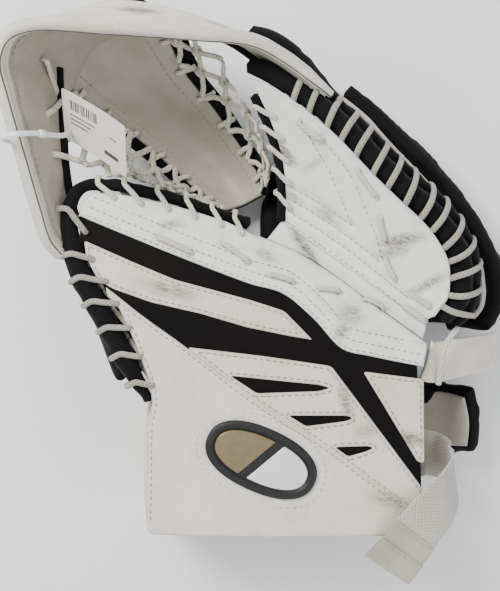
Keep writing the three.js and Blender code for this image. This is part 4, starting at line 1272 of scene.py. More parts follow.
THUMB_SEAMS = ([[0.05, 0.5], [0.95, 0.5]], [[0.33, 0.05], [0.33, 0.95]], [[0.66, 0.05], [0.66, 0.95]])
padded_panel("thumb_side", part_of(THUMB_BACK, 0, 1, 0, 0.585), 11, [1, 0, 0.3], "thumb_half", "thumb_side_pad",
             THUMB_SEAMS)
padded_panel("thumb_floor", part_of(THUMB_BACK, 0, 1, 0.595, 1), 11, UPWARD, "thumb_half", "thumb_back_pad",
             THUMB_SEAMS[1:])

sleeve = roll_piece("thumb_stall", [[-4, -34, 52], [-34, -4, 54], [-64, 22, 56], [-86, 38, 60]],
                    lambda t: mix(15, 11, t), LINING, waists=5, bumps=0.5)
place(sleeve, "thumb_half", "lining", "thumb_sleeve")

# ---- Wrist: pad, keeper, straps ----
WRIST_PAD = Loft([
    [[166, -72, 46], [172, -98, 44], [170, -124, 42]],
    [[152, -68, 22], [156, -98, 20], [154, -128, 20]],
    [[104, -66, 12], [106, -98, 12], [104, -130, 12]],
    [[30, -68, 12], [30, -98, 12], [30, -130, 12]],
    [[-62, -78, 12], [-64, -104, 12], [-62, -130, 12]],
])
padded_panel("wrist_flap", WRIST_PAD, 11, UPWARD, "wrist_pad", "wrist_pad", ([[0.5, 0.04], [0.5, 0.96]],), 0.003)


def wrist_face(u, v):
    """The soft lining panel sewn on the inner face of the wrist pad."""
    return WRIST_PAD(mix(0.14, 0.86, np.asarray(u, float)), mix(0.03, 0.5, np.asarray(v, float)))


wrist_lining = skin("wrist_flap_lining", wrist_face, 2.4, SHADED, UPWARD, depth=-2.2, edge=1.2,
                    relief=lambda u, v, p, rim: 1.0 * (1 - np.exp(-rim / 5)))
place(wrist_lining, "wrist_pad", "shaded_leather")


def ribbon(name, path, across_start, across_end, width, thickness, material, steps=70, sag=0.0):
    """A flat strap with soft edges along a path; its width turns from one direction to another."""
    curve = Curve(path)
    t = np.linspace(0, 1, steps)
    p, tangent = curve(t), curve.tangent(t)
    across = mix(np.array(across_start, float), np.array(across_end, float), smooth(t)[:, None])
    across = unit(across - tangent * np.sum(across * tangent, -1, keepdims=True))
    normal = np.cross(tangent, across)
    w = np.concatenate([[-0.5, -0.485, -0.46], np.linspace(-0.43, 0.43, 18), [0.46, 0.485, 0.5]])
    soft = 0.35 + 0.65 * np.sqrt(np.clip(1 - (np.clip(np.abs(w) - 0.46, 0, None) / 0.04) ** 2, 0, 1))
    verts, uv = [], []
    for side in (0.5, -0.5):
        lift = side * thickness * soft[None, :] + sag * (0.25 - w[None, :] ** 2)
        verts.append(p[:, None] + across[:, None] * (w * width)[None, :, None] + normal[:, None] * lift[..., None])
        uv.append(np.stack(np.broadcast_arrays((t * curve.length / 1000)[:, None], (w * width / 1000)[None, :]), -1))
    faces = slab_faces(*verts[0].shape[:2])
    return new_piece(name, np.concatenate([v.reshape(-1, 3) for v in verts]), faces, material,
                     np.concatenate([x.reshape(-1, 2) for x in uv]))


FOLD_ACROSS = [0.15, -0.93, -0.33]
TAIL_ACROSS = [0.8, -0.55, -0.18]
ANCHOR = [[118, -118, 55], [132.5, -120.4, 53.6], [140, -122, 52], [148, -126, 54], [152, -130, 60]]
TAIL = [
    [152.2, -130.6, 61], [152.6, -135.6, 69.6], [148, -142, 79], [139, -151, 89], [128, -161, 95], [112.5, -180, 95],
]
TAB = [[119.5, -171.8, 96.6], [111, -182.2, 96], [105, -190, 93.6], [99.4, -199, 88]]
anchor = ribbon("strap_root", ANCHOR, [0.1, -1, -0.1], FOLD_ACROSS, WEBBING, 2.0, WEBBING_CLOTH)
place(anchor, "thumb_half", "webbing", "strap_anchor")
tail = ribbon("strap_tail_webbing", TAIL, FOLD_ACROSS, TAIL_ACROSS, WEBBING, 2.0, WEBBING_CLOTH, steps=90)
place(tail, "strap_tail", "webbing", "wrist_strap")
tab = ribbon("strap_end_vinyl", TAB, TAIL_ACROSS, [0.6, -0.78, -0.18], WEBBING + 1.2, 1.8, SHADED, steps=60)
place(tab, "strap_tail", "shaded_leather", "strap_tab")
tab_end = ribbon("strap_end_fold", [[110, -184.4, 97.2], [105, -190.6, 95.4], [99.6, -198.8, 90]], TAIL_ACROSS,
                 [0.6, -0.78, -0.18], WEBBING + 1.6, 2.6, SHADED, steps=40)
place(tab_end, "strap_tail", "shaded_leather")

keeper = ribbon("strap_loop", [[96, -127, 55], [112, -127, 55.4], [127, -127, 55]], [0, 1, 0], [0, 1, 0], 42, 17,
                NYLON_PAD, steps=30, sag=6)
place(keeper, "thumb_half", "black_nylon", "wrist_strap_keeper")

HEEL_STRAP = [[130, -48, 75], [136, -50, 72], [150, -48, 66], [166, -46, 56], [184, -44, 44], [192, -43, 30]]
heel = ribbon("heel_strap_leather", HEEL_STRAP, [0.1, 1, 0], [0.1, 1, 0], 30, 3.0, WHITE, steps=60, sag=5)
place(heel, "finger_half", "white_leather", "heel_strap")
HEEL_TIE = [[154, -24, 74], [148, -30, 79.5], [143, -38, 80.5], [141, -52, 77.5], [140, -66, 73]]
place(lace_along("heel_tie", HEEL_TIE, 2.2, LACE_CREAM), "finger_half", "lace", "heel_lace")

# ---- Pocket: the stem of the T ----
STEM_LEFT = [[-22, 67, 30], [-40, 82, 24], [-64, 104, 20], [-91, 126, 26], [-117, 144, 40], [-138, 158, 60]]
STEM_MIDDLE = [[-6, 72, 24], [-18, 91, 14], [-38, 115, 9], [-61, 139, 14], [-88, 163, 28], [-118, 194, 58]]
STEM_RIGHT = [[9, 79, 34], [5, 97, 28], [-11, 122, 26], [-30, 148, 32], [-50, 171, 44], [-66, 202, 66]]
STEM = Loft([STEM_LEFT, STEM_MIDDLE, STEM_RIGHT])
EDGE_LINE = 0.15  # share of the stem's width from its edge to the stitch line
STEM_HOLES = 6


HOLE_LINE = 0.06  # share of the stem's width from its edge to the lace holes
stem_holes = [(u, v) for v in (HOLE_LINE, 1 - HOLE_LINE) for u in (np.arange(STEM_HOLES) + 0.5) / STEM_HOLES]


def stem_relief(u, v, p, rim):
    out = sum(-1.3 * np.exp(-((p - hole) ** 2).sum(-1) / 2.4**2) for hole in STEM(*np.array(stem_holes).T))
    out -= 0.5 * np.exp(-(((np.minimum(v, 1 - v) - EDGE_LINE) / 0.012) ** 2))
    out += 0.25 * (1 - np.exp(-rim / 5))
    crease = sum(np.exp(-(((u - c - 0.05 * np.sin(6 * v + c * 9)) / 0.012) ** 2)) for c in (0.88, 0.93, 0.97))
    out -= 0.8 * crease * np.exp(-((v - 0.35) / 0.3) ** 2)
    return out + 0.22 * ripples(p.reshape(-1, 3), 34, 12).reshape(rim.shape)


# The stem is coloured with the darker leather: painted shade inside the pocket.
stem_skin = skin("stem_leather", STEM, 2.4, SHADED, UPWARD, relief=stem_relief, cell=2.0)
place(stem_skin, "pocket", "shaded_leather", "t_stem_skin")
stem_board = skin("stem_board", STEM, 3, BOARD, UPWARD, depth=2.8, cell=5)
place(stem_board, "pocket", "board", "t_stem_board")


def wide_stem(u, v):
    """The stem's surface carried past both edges, for the nylon backing."""
    v = np.asarray(v, float)
    inner = STEM(u, np.clip(mix(-0.16, 1.16, v), 0, 1))
    left, right = STEM(u, 0 * v), STEM(u, 0 * v + 1)
    over_left = left + (left - STEM(u, 0 * v + 0.1)) * (np.clip(0.121 - v, 0, 1) / 0.121 * 1.35)[..., None]
    over_right = right + (right - STEM(u, 0 * v + 0.9)) * (np.clip(v - 0.879, 0, 1) / 0.121 * 1.35)[..., None]
    out = np.where((v < 0.121)[..., None], over_left, inner)
    return np.where((v > 0.879)[..., None], over_right, out)


stem_back = skin("stem_nylon", wide_stem, 3.4, NYLON, UPWARD, depth=1.2, cell=3, edge=1.4)
place(stem_back, "pocket", "black_nylon", "t_stem_back")

# ---- Pocket: the band round the T ----
BAND_BASE = [
    [-131, 59, 75], [-136, 80, 74], [-139, 101, 72], [-141, 131, 70], [-143, 160, 70], [-141, 186, 70],
    [-124, 207, 72], [-98, 212, 75], [-63, 207, 78], [-17, 190, 82], [8, 173, 84], [30, 157, 88], [44, 146, 88],
]
BAND_LIP = [
    [-134, 33, 93], [-141, 43, 100], [-147, 66, 108], [-155, 101, 118], [-164, 138, 126], [-168, 160, 130],
    [-162, 175, 131], [-146, 182, 131], [-96, 181, 130], [-48, 178, 127], [0, 174, 119], [19, 166, 112],
    [34, 156.5, 107], [48, 146, 103], [54, 141.5, 100],
]
BAND = Loft([BAND_BASE, BAND_LIP])
LEFT_BEND = ("thumb_half", "pocket", CROTCH + [*(-52 * fold_across), 0], CROTCH + [*(-12 * fold_across), 0])
right_way = unit([0.854, 0.52])
RIGHT_BEND = ("pocket", "finger_half", np.array([*(50 * right_way), 60]), np.array([*(80 * right_way), 60]))
RIGHT_NET_BEND = ("pocket", "finger_half", np.array([*(50 * right_way), 60]), np.array([*(66 * right_way), 60]))
BAND_PARTS = {
    "left": (0, 0.325, [1, 0, -0.3], LEFT_BEND),
    "corner": (0.325, 0.598, [1, -1, 0], "pocket"),
    "right": (0.598, 1, [-0.3, -1, 0], RIGHT_BEND),
}


def band_relief(u, v, p, rim):
    """A seam below the lip, upright wrinkles, and a slightly quilted face."""
    flat = p.reshape(-1, 3)
    wrinkle = ripples(flat * [1, 1, 0.25], 19, 21).reshape(rim.shape)
    out = 0.55 * wrinkle * np.exp(-(((v - 0.35) / 0.4) ** 2))
    out += 0.35 * ripples(flat, 42, 22).reshape(rim.shape)
    out -= 0.8 * np.exp(-(((v - 0.86) / 0.018) ** 2))
    return out


for part, (start, end, inside_way, rides) in BAND_PARTS.items():
    wall = part_of(BAND, start, end, 0, 1)
    piece = skin(f"band_{part}", BAND, BAND_THICK, WHITE, inside_way, relief=band_relief, cell=2.4, edge=2.2,
                 trim=(start, end, 0, 1))
    place(piece, rides, "white_leather", f"t_band_{part}")
    at = np.linspace(0, 1, 110)
    top = wall(at, np.ones(110))
    up = unit(top - wall(at, np.full(110, 0.9)))
    seat = top - normals_of(wall, at, np.ones(110), inside_way) * BAND_THICK / 2
    lip = seat + up * (LIP * 0.75)
    taper = 1 - 0.45 * smooth((at - 0.8) / 0.2) * (part == "right")
    lip_radius = (LIP + 0.6 + 0.18 * ripples(lip, 15, 24)) * taper
    piece = tube(f"lip_{part}", lip, lip_radius, WHITE, sides=20)
    place(piece, rides, "white_leather", f"band_lip_{part}")
    # A thin sheet of the darker leather laid over the band's inner face: painted shade on the inside of the pocket.
    lining = skin(f"band_shade_sheet_{part}", BAND, 1.6, SHADED, inside_way, -1.0, 2.4, 0.8, band_relief,
                  (start, end, 0.04, 0.93))
    place(lining, rides, "shaded_leather")
    # A thin near-black cord along the seam under the lip: painted shade of the groove where the lip meets the band.
    inward = normals_of(wall, at, np.ones(110), inside_way)
    seam_shade_line = lip + unit(up * 0.57 + inward * 0.82) * (lip_radius * 0.97)[:, None]
    place(tube(f"lip_seam_shade_{part}", seam_shade_line, 0.6, SEAM_GROOVE_SHADE, sides=8), rides, "lace")
    seam_way = normals_of(wall, at, np.full(110, 0.9), inside_way)
    seam = [(wall(at, np.full(110, 0.9)) + seam_way * 1.0, seam_way)]
    place(stitches(f"stitching_band_{part}", seam, THREAD), rides, "lace")
    if part == "corner":
        continue
    inner_foot = wall(at, np.full(110, 0.03)) + normals_of(wall, at, np.full(110, 0.03), inside_way) * 2.2
    piece = tube(f"band_foot_{part}", inner_foot, 3.3 + 0.2 * ripples(inner_foot, 18, 25), NYLON, sides=14)
    place(piece, rides, "black_nylon")


def corner_flow(u, v):
    """The stem's leather carried on up the inner face of the corner: u up, v across the stem."""
    u, v = np.broadcast_arrays(np.asarray(u, float), np.asarray(v, float))
    flat_v = v.ravel()
    low = STEM(np.full(flat_v.shape, 0.97), flat_v)
    bend_u = mix(0.26, 0.515, flat_v)
    foot = BAND(bend_u, np.full(flat_v.shape, 0.12))
    high = BAND(bend_u, np.full(flat_v.shape, 0.82))
    way = unit(np.array([1.0, -1.0, 0.0]))
    rails = np.array([low + [0, 0, 0.6], mix(low, foot, 0.55) + way * 3, foot + way * 2.4,
                      mix(foot, high, 0.5) + way * 1.6, high + way * 0.9])
    return catmull(rails, u.ravel()).reshape(u.shape + (3,))


def flow_relief(u, v, p, rim):
    out = 0.4 * ripples(p.reshape(-1, 3), 20, 27).reshape(rim.shape) * (1 - np.exp(-rim / 4))
    for c, lean in ((0.3, 0.08), (0.42, -0.1), (0.55, 0.12)):
        out -= 0.9 * np.exp(-(((u - c - lean * np.sin(4 * v)) / 0.02) ** 2)) * np.exp(-((v - 0.4) / 0.35) ** 2)
    return out


# Coloured with the darker leather: painted shade in the corner of the pocket.
flow = skin("corner_leather", corner_flow, 1.8, SHADED, [1, -1, 0.6], relief=flow_relief, cell=2.4)
place(flow, "pocket", "shaded_leather")

# ---- Finger half: the palm ----
PLEATS = [
    [[27, 83, 0], [52, 68, 0], [76, 51, 0]],
    [[27, 74, 0], [60, 53, 0], [96, 25, 0]],
    [[27, 65, 0], [70, 36, 0], [117, -2, 0]],
    [[26, 57, 0], [76, 21, 0], [127, -20, 0]],
]
FINGER_CURVES = [
    [[42, 116, 0], [60, 86, 0], [75, 52, 0]],
    [[53, 111, 0], [73, 86, 0], [91, 47, 0], [98, 26, 0]],
]
FINGER_LACES = [
    [[35, 125], [52, 112]], [[77, 91], [92, 71]], [[95, 57], [99, 41]], [[100, 27], [107, 12]],
    [[118, 2], [132, -8]], [[115, -9], [128, -18]],
]
finger_lace_holes = [end for pair in FINGER_LACES for end in pair]
FINGER_LOOPS = 15
FINGER_T0, FINGER_T1 = 0.13, 0.985


def edge_points(out, down):
    """The finger half's rim moved `out` to its outer side, seen from above, and `down`."""
    t = np.linspace(0, 1, 40)
    tangent = unit(RIM_CURVE(np.minimum(t + 0.01, 1)) - RIM_CURVE(np.maximum(t - 0.01, 0)))
    moved = RIM_CURVE(t) - unit(np.cross(tangent, [0.0, 0.0, 1.0])) * out
    moved[:, 2] -= down
    return moved


def drop_along(start, end):
    """How far the rolls' middle lies under the rim, from the rim's start to its middle."""
    return mix(start, end, smooth(np.linspace(0, 1, 40) / 0.5))


FRONT_OUT = EDGE_ROLL + 1
BACK_OUT = FRONT_OUT + 10


front_roll = edge_points(FRONT_OUT, 8)
BACK_TAIL = [[-1, 191.5, 88], [13, 186.5, 88], [26, 178, 87], [38, 168, 84]]
back_roll = np.concatenate([BACK_TAIL, edge_points(BACK_OUT, drop_along(31, 26))[11:]])
roll_centre = edge_points(FRONT_OUT + 5, drop_along(19.5, 17))
loop_at = mix(FINGER_T0, FINGER_T1, (np.arange(FINGER_LOOPS) + 0.08) / FINGER_LOOPS)
rim_holes = Curve(edge_points(-4.5, 0))(loop_at)[:, :2]
FINGER_POCKET_ROLL = 3.9
at = np.linspace(0.01, 0.9, 14)
leather_edge = finger_skin(np.zeros(14), at)
outwards = unit(leather_edge - finger_skin(np.full(14, 0.03), at))
FINGER_POCKET_EDGE = leather_edge + outwards * 2.6 - [0, 0, 4.4]
FINGER_HOLE_V = np.array([0.14, 0.31, 0.47, 0.62, 0.77])
finger_pocket_points = finger_skin(np.full(5, 0.036), FINGER_HOLE_V)
finger_pocket_holes = finger_pocket_points[:, :2]


def finger_relief(u, v, p, rim):
    xy = p[..., :2].reshape(-1, 2)
    f = across_break(xy)
    out = np.zeros(len(xy))
    for pleat in PLEATS:
        out += groove(xy, pleat, 2.2, 2.0)
    for line in FINGER_CURVES:
        out += groove(xy, line, 1.0, 0.7)
    out += pits(xy, finger_lace_holes) + pits(xy, rim_holes, 2.4, 1.6) + pits(xy, finger_pocket_holes, 2.0, 1.3)
    soft = np.exp(-((f - 14) / 26.0) ** 2)
    out += (0.4 + 0.7 * soft) * ripples(xy @ np.array([[1, 0.0], [0, 1.6]]), 27, 31) * 0.7
    out += 0.8 * ripples(p.reshape(-1, 3), 60, 32)
    out = out + 0.12 * ripples(xy, 8, 33)
    return out.reshape(rim.shape) * (0.4 + 0.6 * (1 - np.exp(-rim / 3)))


finger = skin("finger_palm", finger_skin, 2.4, PALM, UPWARD, relief=finger_relief, cell=1.8)
place(finger, "finger_half", "white_leather", "finger_palm_skin")


def finger_core(u, v):
    return finger_face(mix(0.08, 0.97, np.asarray(u, float)), mix(0.06, 1, np.asarray(v, float)), 21.0)


for name, top, thick, material, slot, node_name in (
    ("finger_foam_layer", 2.8, 11, FOAM, "foam", "finger_foam"),
    ("finger_inner_back", 14.2, 2.4, NYLON, "black_nylon", "finger_back_panel"),
):
    layer = skin(name, finger_core, thick, material, UPWARD, depth=top, cell=5)
    place(layer, "finger_half", slot, node_name)

for k, (a, b) in enumerate(FINGER_LACES):
    nodes = {0: "palm_lace_finger_1", 2: "palm_lace_finger_2", 3: "palm_lace_finger_3"}
    lace_stitch(f"finger_palm_lace_{k + 1}", finger_point, a, b, "finger_half", *filter(None, [nodes.get(k)]))


# ---- Finger half: rolls and laces ----
def roll_taper(t):
    return EDGE_ROLL * mix(0.7, 1, smooth(t / 0.08)) * mix(1, 0.6, smooth((t - 0.9) / 0.1))


for name, path, node_name in (
    ("rim_roll_front", front_roll, "finger_edge_roll_front"),
    ("rim_roll_back", back_roll, "finger_edge_roll_back"),
):
    piece = roll_piece(name, path, roll_taper, NYLON, steps=150, sides=24, waists=FINGER_LOOPS, t0=FINGER_T0,
                       t1=FINGER_T1)
    place(piece, "finger_half", "black_nylon", node_name)
centre, outward = winding_points(roll_centre, EDGE_ROLL + LACE * 0.7, FINGER_LOOPS, FINGER_T0, FINGER_T1, half=11.5,
                                 tilt=-1.12, per_turn=40, wobble=0.9)
rim_lace = tube("rim_lace", centre, 2.3, LACE_GREY, sides=10, flat=0.72, normals=outward)
place(rim_lace, "finger_half", "lace", "finger_edge_lace")

piece = roll_piece("finger_pocket_edge", FINGER_POCKET_EDGE, FINGER_POCKET_ROLL, NYLON, waists=5, t0=0.1, t1=0.94)
place(piece, "finger_half", "black_nylon", "finger_pocket_roll")
ways = normals_of(finger_skin, np.full(5, 0.036), FINGER_HOLE_V, UPWARD)
piece = wrap_lace("finger_pocket_loops", FINGER_POCKET_EDGE, FINGER_POCKET_ROLL, FINGER_HOLE_V / 0.9 + 0.07,
                  finger_pocket_points, ways, LACE_CREAM)
place(piece, "finger_half", "lace", "finger_pocket_lace")

# ---- Finger half: back of the hand ----
PAD_OUTER = [
    [73, 159, 52], [101, 140, 50], [135, 109, 48], [166, 74, 46], [190, 30, 44], [192, -8, 42], [180, -24, 40],
]
PAD_MIDDLE = [
    [60, 140, 28], [88, 118, 22], [118, 90, 18], [146, 58, 16], [168, 22, 16], [170, -8, 16], [160, -24, 16],
]
PAD_INNER = [
    [24, 118, 20], [52, 86, 14], [82, 58, 14], [106, 30, 14], [122, 4, 14], [126, -12, 14], [126, -28, 14],
]
BACK_PAD = Loft([PAD_OUTER, PAD_MIDDLE, PAD_INNER])
padded_panel("back_pad", BACK_PAD, 13, UPWARD, "finger_half", "finger_back_pad",
             ([[0.02, 0.3], [0.98, 0.3]], [[0.33, 0.3], [0.33, 0.97]], [[0.66, 0.3], [0.66, 0.97]]))
HAND_BACK = Loft([
    [[20, 110, 19], [46, 84, 14], [76, 54, 14], [100, 26, 14], [115, 2, 14], [118, -30, 14], [112, -58, 14]],
    [[9, 86, 15], [5, 62, 14], [4, 36, 14], [8, 10, 14], [10, -14, 14], [14, -36, 14], [22, -58, 14]],
])
padded_panel("hand_back", HAND_BACK, 13, UPWARD, "finger_half", "backhand_pad",
             ([[0.3, 0.05], [0.3, 0.95]], [[0.6, 0.05], [0.6, 0.95]]))

at = np.linspace(0.0, 0.97, 130)
seam_at = mix(0.13, 0.20, smooth(at / 0.3))
piping_path = BACK_PAD(at, seam_at) + normals_of(BACK_PAD, at, seam_at, UPWARD) * 2.6
piping = tube("back_pad_piping", piping_path, 2.1, WHITE, sides=12)
place(piping, "finger_half", "white_leather")

for k in range(4):
    u = np.full(4, 0.12 + 0.19 * k)
    v = np.array([0.14, 0.4, 0.6, 0.76])
    deep = normals_of(finger_face, u, v, UPWARD)
    path = finger_face(u, v) - deep * 27
    stall = roll_piece(f"finger_stall_{k + 1}", path, 8.8, LINING, waists=5, bumps=0.4)
    place(stall, "finger_half", "lining", f"finger_sleeve_{k + 1}")

# ---- The break between the two halves ----
GUSSET = Loft([
    [[13, 43, 61], [46, 28, 65], [91, -5, 74], [127, -31, 82]],
    [[20, 52, 55], [53, 31, 61], [94, -1, 71], [129, -27, 79]],
    [[26, 59.5, 55], [61.5, 34.5, 62], [97.5, 7.5, 70.5], [130, -18, 78.5]],
])


def gusset_relief(u, v, p, rim):
    return 0.5 * ripples(p.reshape(-1, 3) @ np.diag([1, 1.5, 1]), 16, 35).reshape(rim.shape) * (1 - np.exp(-rim / 2))


low_bend = ("thumb_half", "pocket", CROTCH + [*(-8 * fold_across), 0], CROTCH)
high_bend = ("pocket", "finger_half", CROTCH, CROTCH + [*(8 * fold_across), 0])
lower = skin("break_lower", GUSSET, 2.4, PALM, UPWARD, relief=gusset_relief, trim=(0, 1, 0, 0.5), cell=1.6)
place(lower, low_bend, "shaded_leather", "break_gusset")
higher = skin("break_upper", GUSSET, 2.4, PALM, UPWARD, relief=gusset_relief, trim=(0, 1, 0.5, 1), cell=1.6)
place(higher, high_bend, "shaded_leather")

# ---- Nets: knotted flat lace ----
def beside(edge, dx, dy):
    return [[x + dx, y + dy, z + 2] for x, y, z in edge]


LEFT_NET = Loft([
    beside(STEM_LEFT, -3, -1),
    [[-24, 64, 38], [-52, 79, 42], [-80, 93, 48], [-104, 103, 54], [-120, 122, 58], [-139, 152, 62]],
    [[-13, 61, 58], [-49, 73.5, 68], [-92, 84, 78], [-115, 88, 78], [-131, 108, 72], [-139, 148, 65]],
])
RIGHT_NET = Loft([
    beside(STEM_RIGHT, 3, 1),
    [[12, 84, 42], [11, 106, 44], [0, 132, 50], [-18, 156, 58], [-40, 180, 62], [-64, 203, 70]],
    [[17, 80, 56], [15, 102, 68], [8, 122, 80], [-6, 146, 92], [-20, 176, 84], [-56, 200, 76]],
])


def net(name, surface, strands, rows, facing, rides, node_name):
    """Zigzag strands that meet their neighbours in knots, from the stem's edge to the pocket's edge."""
    rng = np.random.default_rng(len(name) + strands)
    nudge = rng.normal(0, 0.007, (strands + 1, rows + 1))
    pieces = []
    du = 1 / strands
    for i in range(strands):
        nodes_u, nodes_v = [], []
        for j in range(rows + 1):
            side = 1 if (i + j) % 2 else -1
            meet = min(max(i + (side + 1) // 2, 0), strands)
            nodes_u.append(meet * du + nudge[meet, j] - side * 0.011)
            nodes_v.append(j / rows + nudge[meet, j] * 1.5 * (0 < j < rows))
        s = np.linspace(0, rows, rows * 14 + 1)
        ease = s - 0.11 * np.sin(2 * np.pi * s) / (2 * np.pi) * 1.5
        u = np.clip(np.interp(ease, range(rows + 1), nodes_u), 0.004, 0.996)
        v = np.clip(np.interp(s, range(rows + 1), nodes_v), -0.02, 1)
        n = normals_of(surface, u, np.clip(v, 0, 1), facing)
        lift = 1.1 + 0.7 * np.sin(np.pi * s * 1.0 + i)
        end = np.clip(np.maximum(0.12 - s / rows, s / rows - 0.9), 0, 1) / 0.1
        p = surface(u, np.clip(v, 0, 1)) + n * (lift + 2.5 * end)[:, None]
        pieces.append(tube(f"{name}_strand", p, 2.5, NET_CORD, sides=8, flat=0.5, normals=n))
    for i in range(strands + 1):
        for j in range(1, rows):
            if (i + j) % 2 == 0 and 0 < i < strands:
                u = np.array([i * du + nudge[i, j]])
                v = np.array([j / rows + nudge[i, j] * 1.5])
                n = normals_of(surface, u, v, facing)[0]
                middle = surface(u, v)[0] + n * 1.4
                along = unit(surface(u, v + 0.02)[0] - surface(u, v - 0.02)[0])
                cross = np.cross(n, along)
                a = np.linspace(0, 2 * np.pi * 2.3, 34)
                lean = rng.uniform(-0.4, 0.4)
                turn = along * math.cos(lean) + cross * math.sin(lean)
                wrap = (middle + np.cos(a)[:, None] * cross * 3.1 + np.sin(a)[:, None] * n * 2.3
                        + turn * ((a - a[-1] / 2) * 0.28)[:, None])
                pieces.append(tube(f"{name}_knot", wrap, 1.6, NET_CORD, sides=7, flat=0.8))
    return place(join(name, pieces), rides, "net_cord", node_name)


net("net_left", LEFT_NET, 13, 3, UPWARD, LEFT_BEND, "left_net")
net("net_right", RIGHT_NET, 10, 3, UPWARD, RIGHT_NET_BEND, "right_net")


def stem_ties(name, v_hole, v_over):
    """Short laces out of the stem's holes, over its black edge, to the net's first knots."""
    pieces = []
    for u in (hole[0] for hole in stem_holes[:STEM_HOLES]):
        us, vs = u + np.array([0, 0, 0.01, 0.015]), np.array([v_hole, v_hole, v_over, v_over])
        p, n = STEM(us, vs), normals_of(STEM, us, vs, UPWARD)
        out = unit(STEM([u], [v_over])[0] - STEM([u], [0.5])[0])
        path = [p[0] - n[0] * 3, p[1] + n[1] * 1.2, p[2] + n[2] * 2.6 + out * 1.5,
                p[3] + out * 8.5 + n[3] * 2.4, p[3] + out * 10 - n[3]]
        pieces.append(lace_along(f"{name}_tie", path, 2.1, NET_CORD, 18, 8, 0.62, n[2]))
    return place(join(name, pieces), "pocket", "net_cord")


stem_ties("stem_ties_left", HOLE_LINE, 0.0)
stem_ties("stem_ties_right", 1 - HOLE_LINE, 1.0)

BAND_TIES = [
    [[-150, 171, 92], [-147, 170, 94], [-145, 160, 84], [-142, 149, 73], [-139, 146, 68]],
    [[-150, 131, 88], [-146.5, 132, 90], [-142, 139, 80], [-139, 146, 72], [-137, 148, 67]],
    [[-146, 103, 84], [-141.5, 103, 85.5], [-133, 101.5, 78], [-124, 99, 74], [-120, 97, 71]],
]
ties = [lace_along("band_ties", path, 2.3, NET_CORD, 22, 8, 0.65, [0.7, 0, 0.7]) for path in BAND_TIES]
place(join("band_ties", ties), LEFT_BEND, "net_cord")

knot_roll = roll_piece("back_knot_roll", [[-94, 221, 63], [-86, 220, 65], [-76, 214, 66]], 4.6, NYLON, steps=30)
place(knot_roll, "pocket", "black_nylon")
KNOT = [[-116, 213, 64], [-108, 219, 67], [-99, 221.5, 67], [-90, 218, 66], [-86, 212, 64]]
place(lace_along("back_knot_lace", KNOT, 2.2, LACE_CREAM, flat=0.75), "pocket", "lace")

# ---- Price card and its tie ----
CARD_SIZE = (69.0, 42.0)
corner = np.array([-134.0, 149.0, 100.0])
card_long = unit([0.72, -0.49, 0.49])
card_short = np.array([-0.06, -0.74, -0.66])
card_short = unit(card_short - card_long * (card_short @ card_long))
card_normal = np.cross(card_long, card_short)
card_front = card_normal * np.sign(card_normal[2])
HOLE = np.array([6.0, 35.0])


def card_point(x, y, lift):
    """A point of the card: x along it, y down it, with a slight curl."""
    x, y = np.asarray(x, float), np.asarray(y, float)
    curl = 1.6 * ((x / CARD_SIZE[0] - 0.5) ** 2) * 4 - 0.5
    return corner + x[..., None] * card_long + y[..., None] * card_short + (lift + curl)[..., None] * card_front


def flat_shape(name, loop, holes, low, high, material, cell=3.0):
    """A thin body of the card cut to a loop, between two heights above it."""
    loops = [resample(loop, 1.5)] + [resample(h, 0.7) for h in holes]
    first, last = loops[0].min(0), loops[0].max(0)
    gx, gy = np.meshgrid(np.arange(first[0], last[0], cell), np.arange(first[1], last[1], cell))
    grid = np.stack([gx.ravel(), gy.ravel()], -1)
    keep = within(grid, loops) & (nearest_edge(grid, loops) > 0.8)
    flat, triangles = triangulate(np.concatenate(loops + [grid[keep]]), loops)
    n = len(flat)
    top = card_point(flat[:, 0], flat[:, 1], np.full(n, high))
    bottom = card_point(flat[:, 0], flat[:, 1], np.full(n, low))
    t = triangles[0]
    if np.cross(top[t[1]] - top[t[0]], top[t[2]] - top[t[0]]) @ card_front < 0:
        triangles = triangles[:, ::-1]
    return new_piece(name, np.concatenate([top, bottom]), two_sided(triangles, n), material,
                     np.tile(flat / 1000, (2, 1)), smooth_faces=False)


def rectangle(x0, y0, x1, y1):
    return [[x0, y0], [x1, y0], [x1, y1], [x0, y1]]


round_hole = np.linspace(0, 6.0, 20)
hole_loop = HOLE + 2.6 * np.stack([np.cos(round_hole), np.sin(round_hole)], -1)
card = flat_shape("card_blank", fillet(rectangle(0, 0, *CARD_SIZE), 2.0), [hole_loop], -0.25, 0.25, CARD)
place(card, "price_card", "card", "price_card")
bars = []
x = 8.0
for k in range(15):
    thick = RNG.choice([0.5, 0.8, 1.3])
    bars.append(flat_shape(f"bar_{k}", rectangle(x, 6, x + thick, 14), [], 0.2, 0.32, INK))
    x += thick + RNG.choice([0.7, 1.1, 1.5])
for y, x0, x1 in ((17.5, 8, 34), (21, 8, 30), (24.5, 8, 26), (17.5, 50, 58), (31, 44, 60)):
    bars.append(flat_shape(f"row_{y}_{x0}", rectangle(x0, y, x1, y + (1.0 if y < 30 else 3.2)), [], 0.2, 0.32, INK))
place(join("card_bars", bars), "price_card", "card")

tie_at = corner + HOLE[0] * card_long + HOLE[1] * card_short
TIE = [
    tie_at, [-135, 114, 102], [-148, 111, 130], [-160, 109, 138], [-171, 108, 128],
    [-166, 109, 98], [-157, 110, 72], [-146, 113, 62], [-134, 118, 66], tie_at,
]
tie_curve = Curve(TIE)
tie_points = tie_curve(np.linspace(0, 1, 120))
tie = tube("tie_band", tie_points, 1.9, NYLON_TIE, sides=10, flat=0.42, normals=tie_points - tie_points.mean(0))
head_at, head_along = tie_curve(0.245)[0], tie_curve.tangent(0.245)[0]
head = tube("tie_head", [head_at + head_along * d for d in (-3, -2.6, 2.6, 3)], [2.4, 3.0, 3.0, 2.4], NYLON_TIE,
            sides=8, flat=0.8)
place(join("tie_band", [tie, head]), "thumb_half", "clear_nylon", "cable_tie")

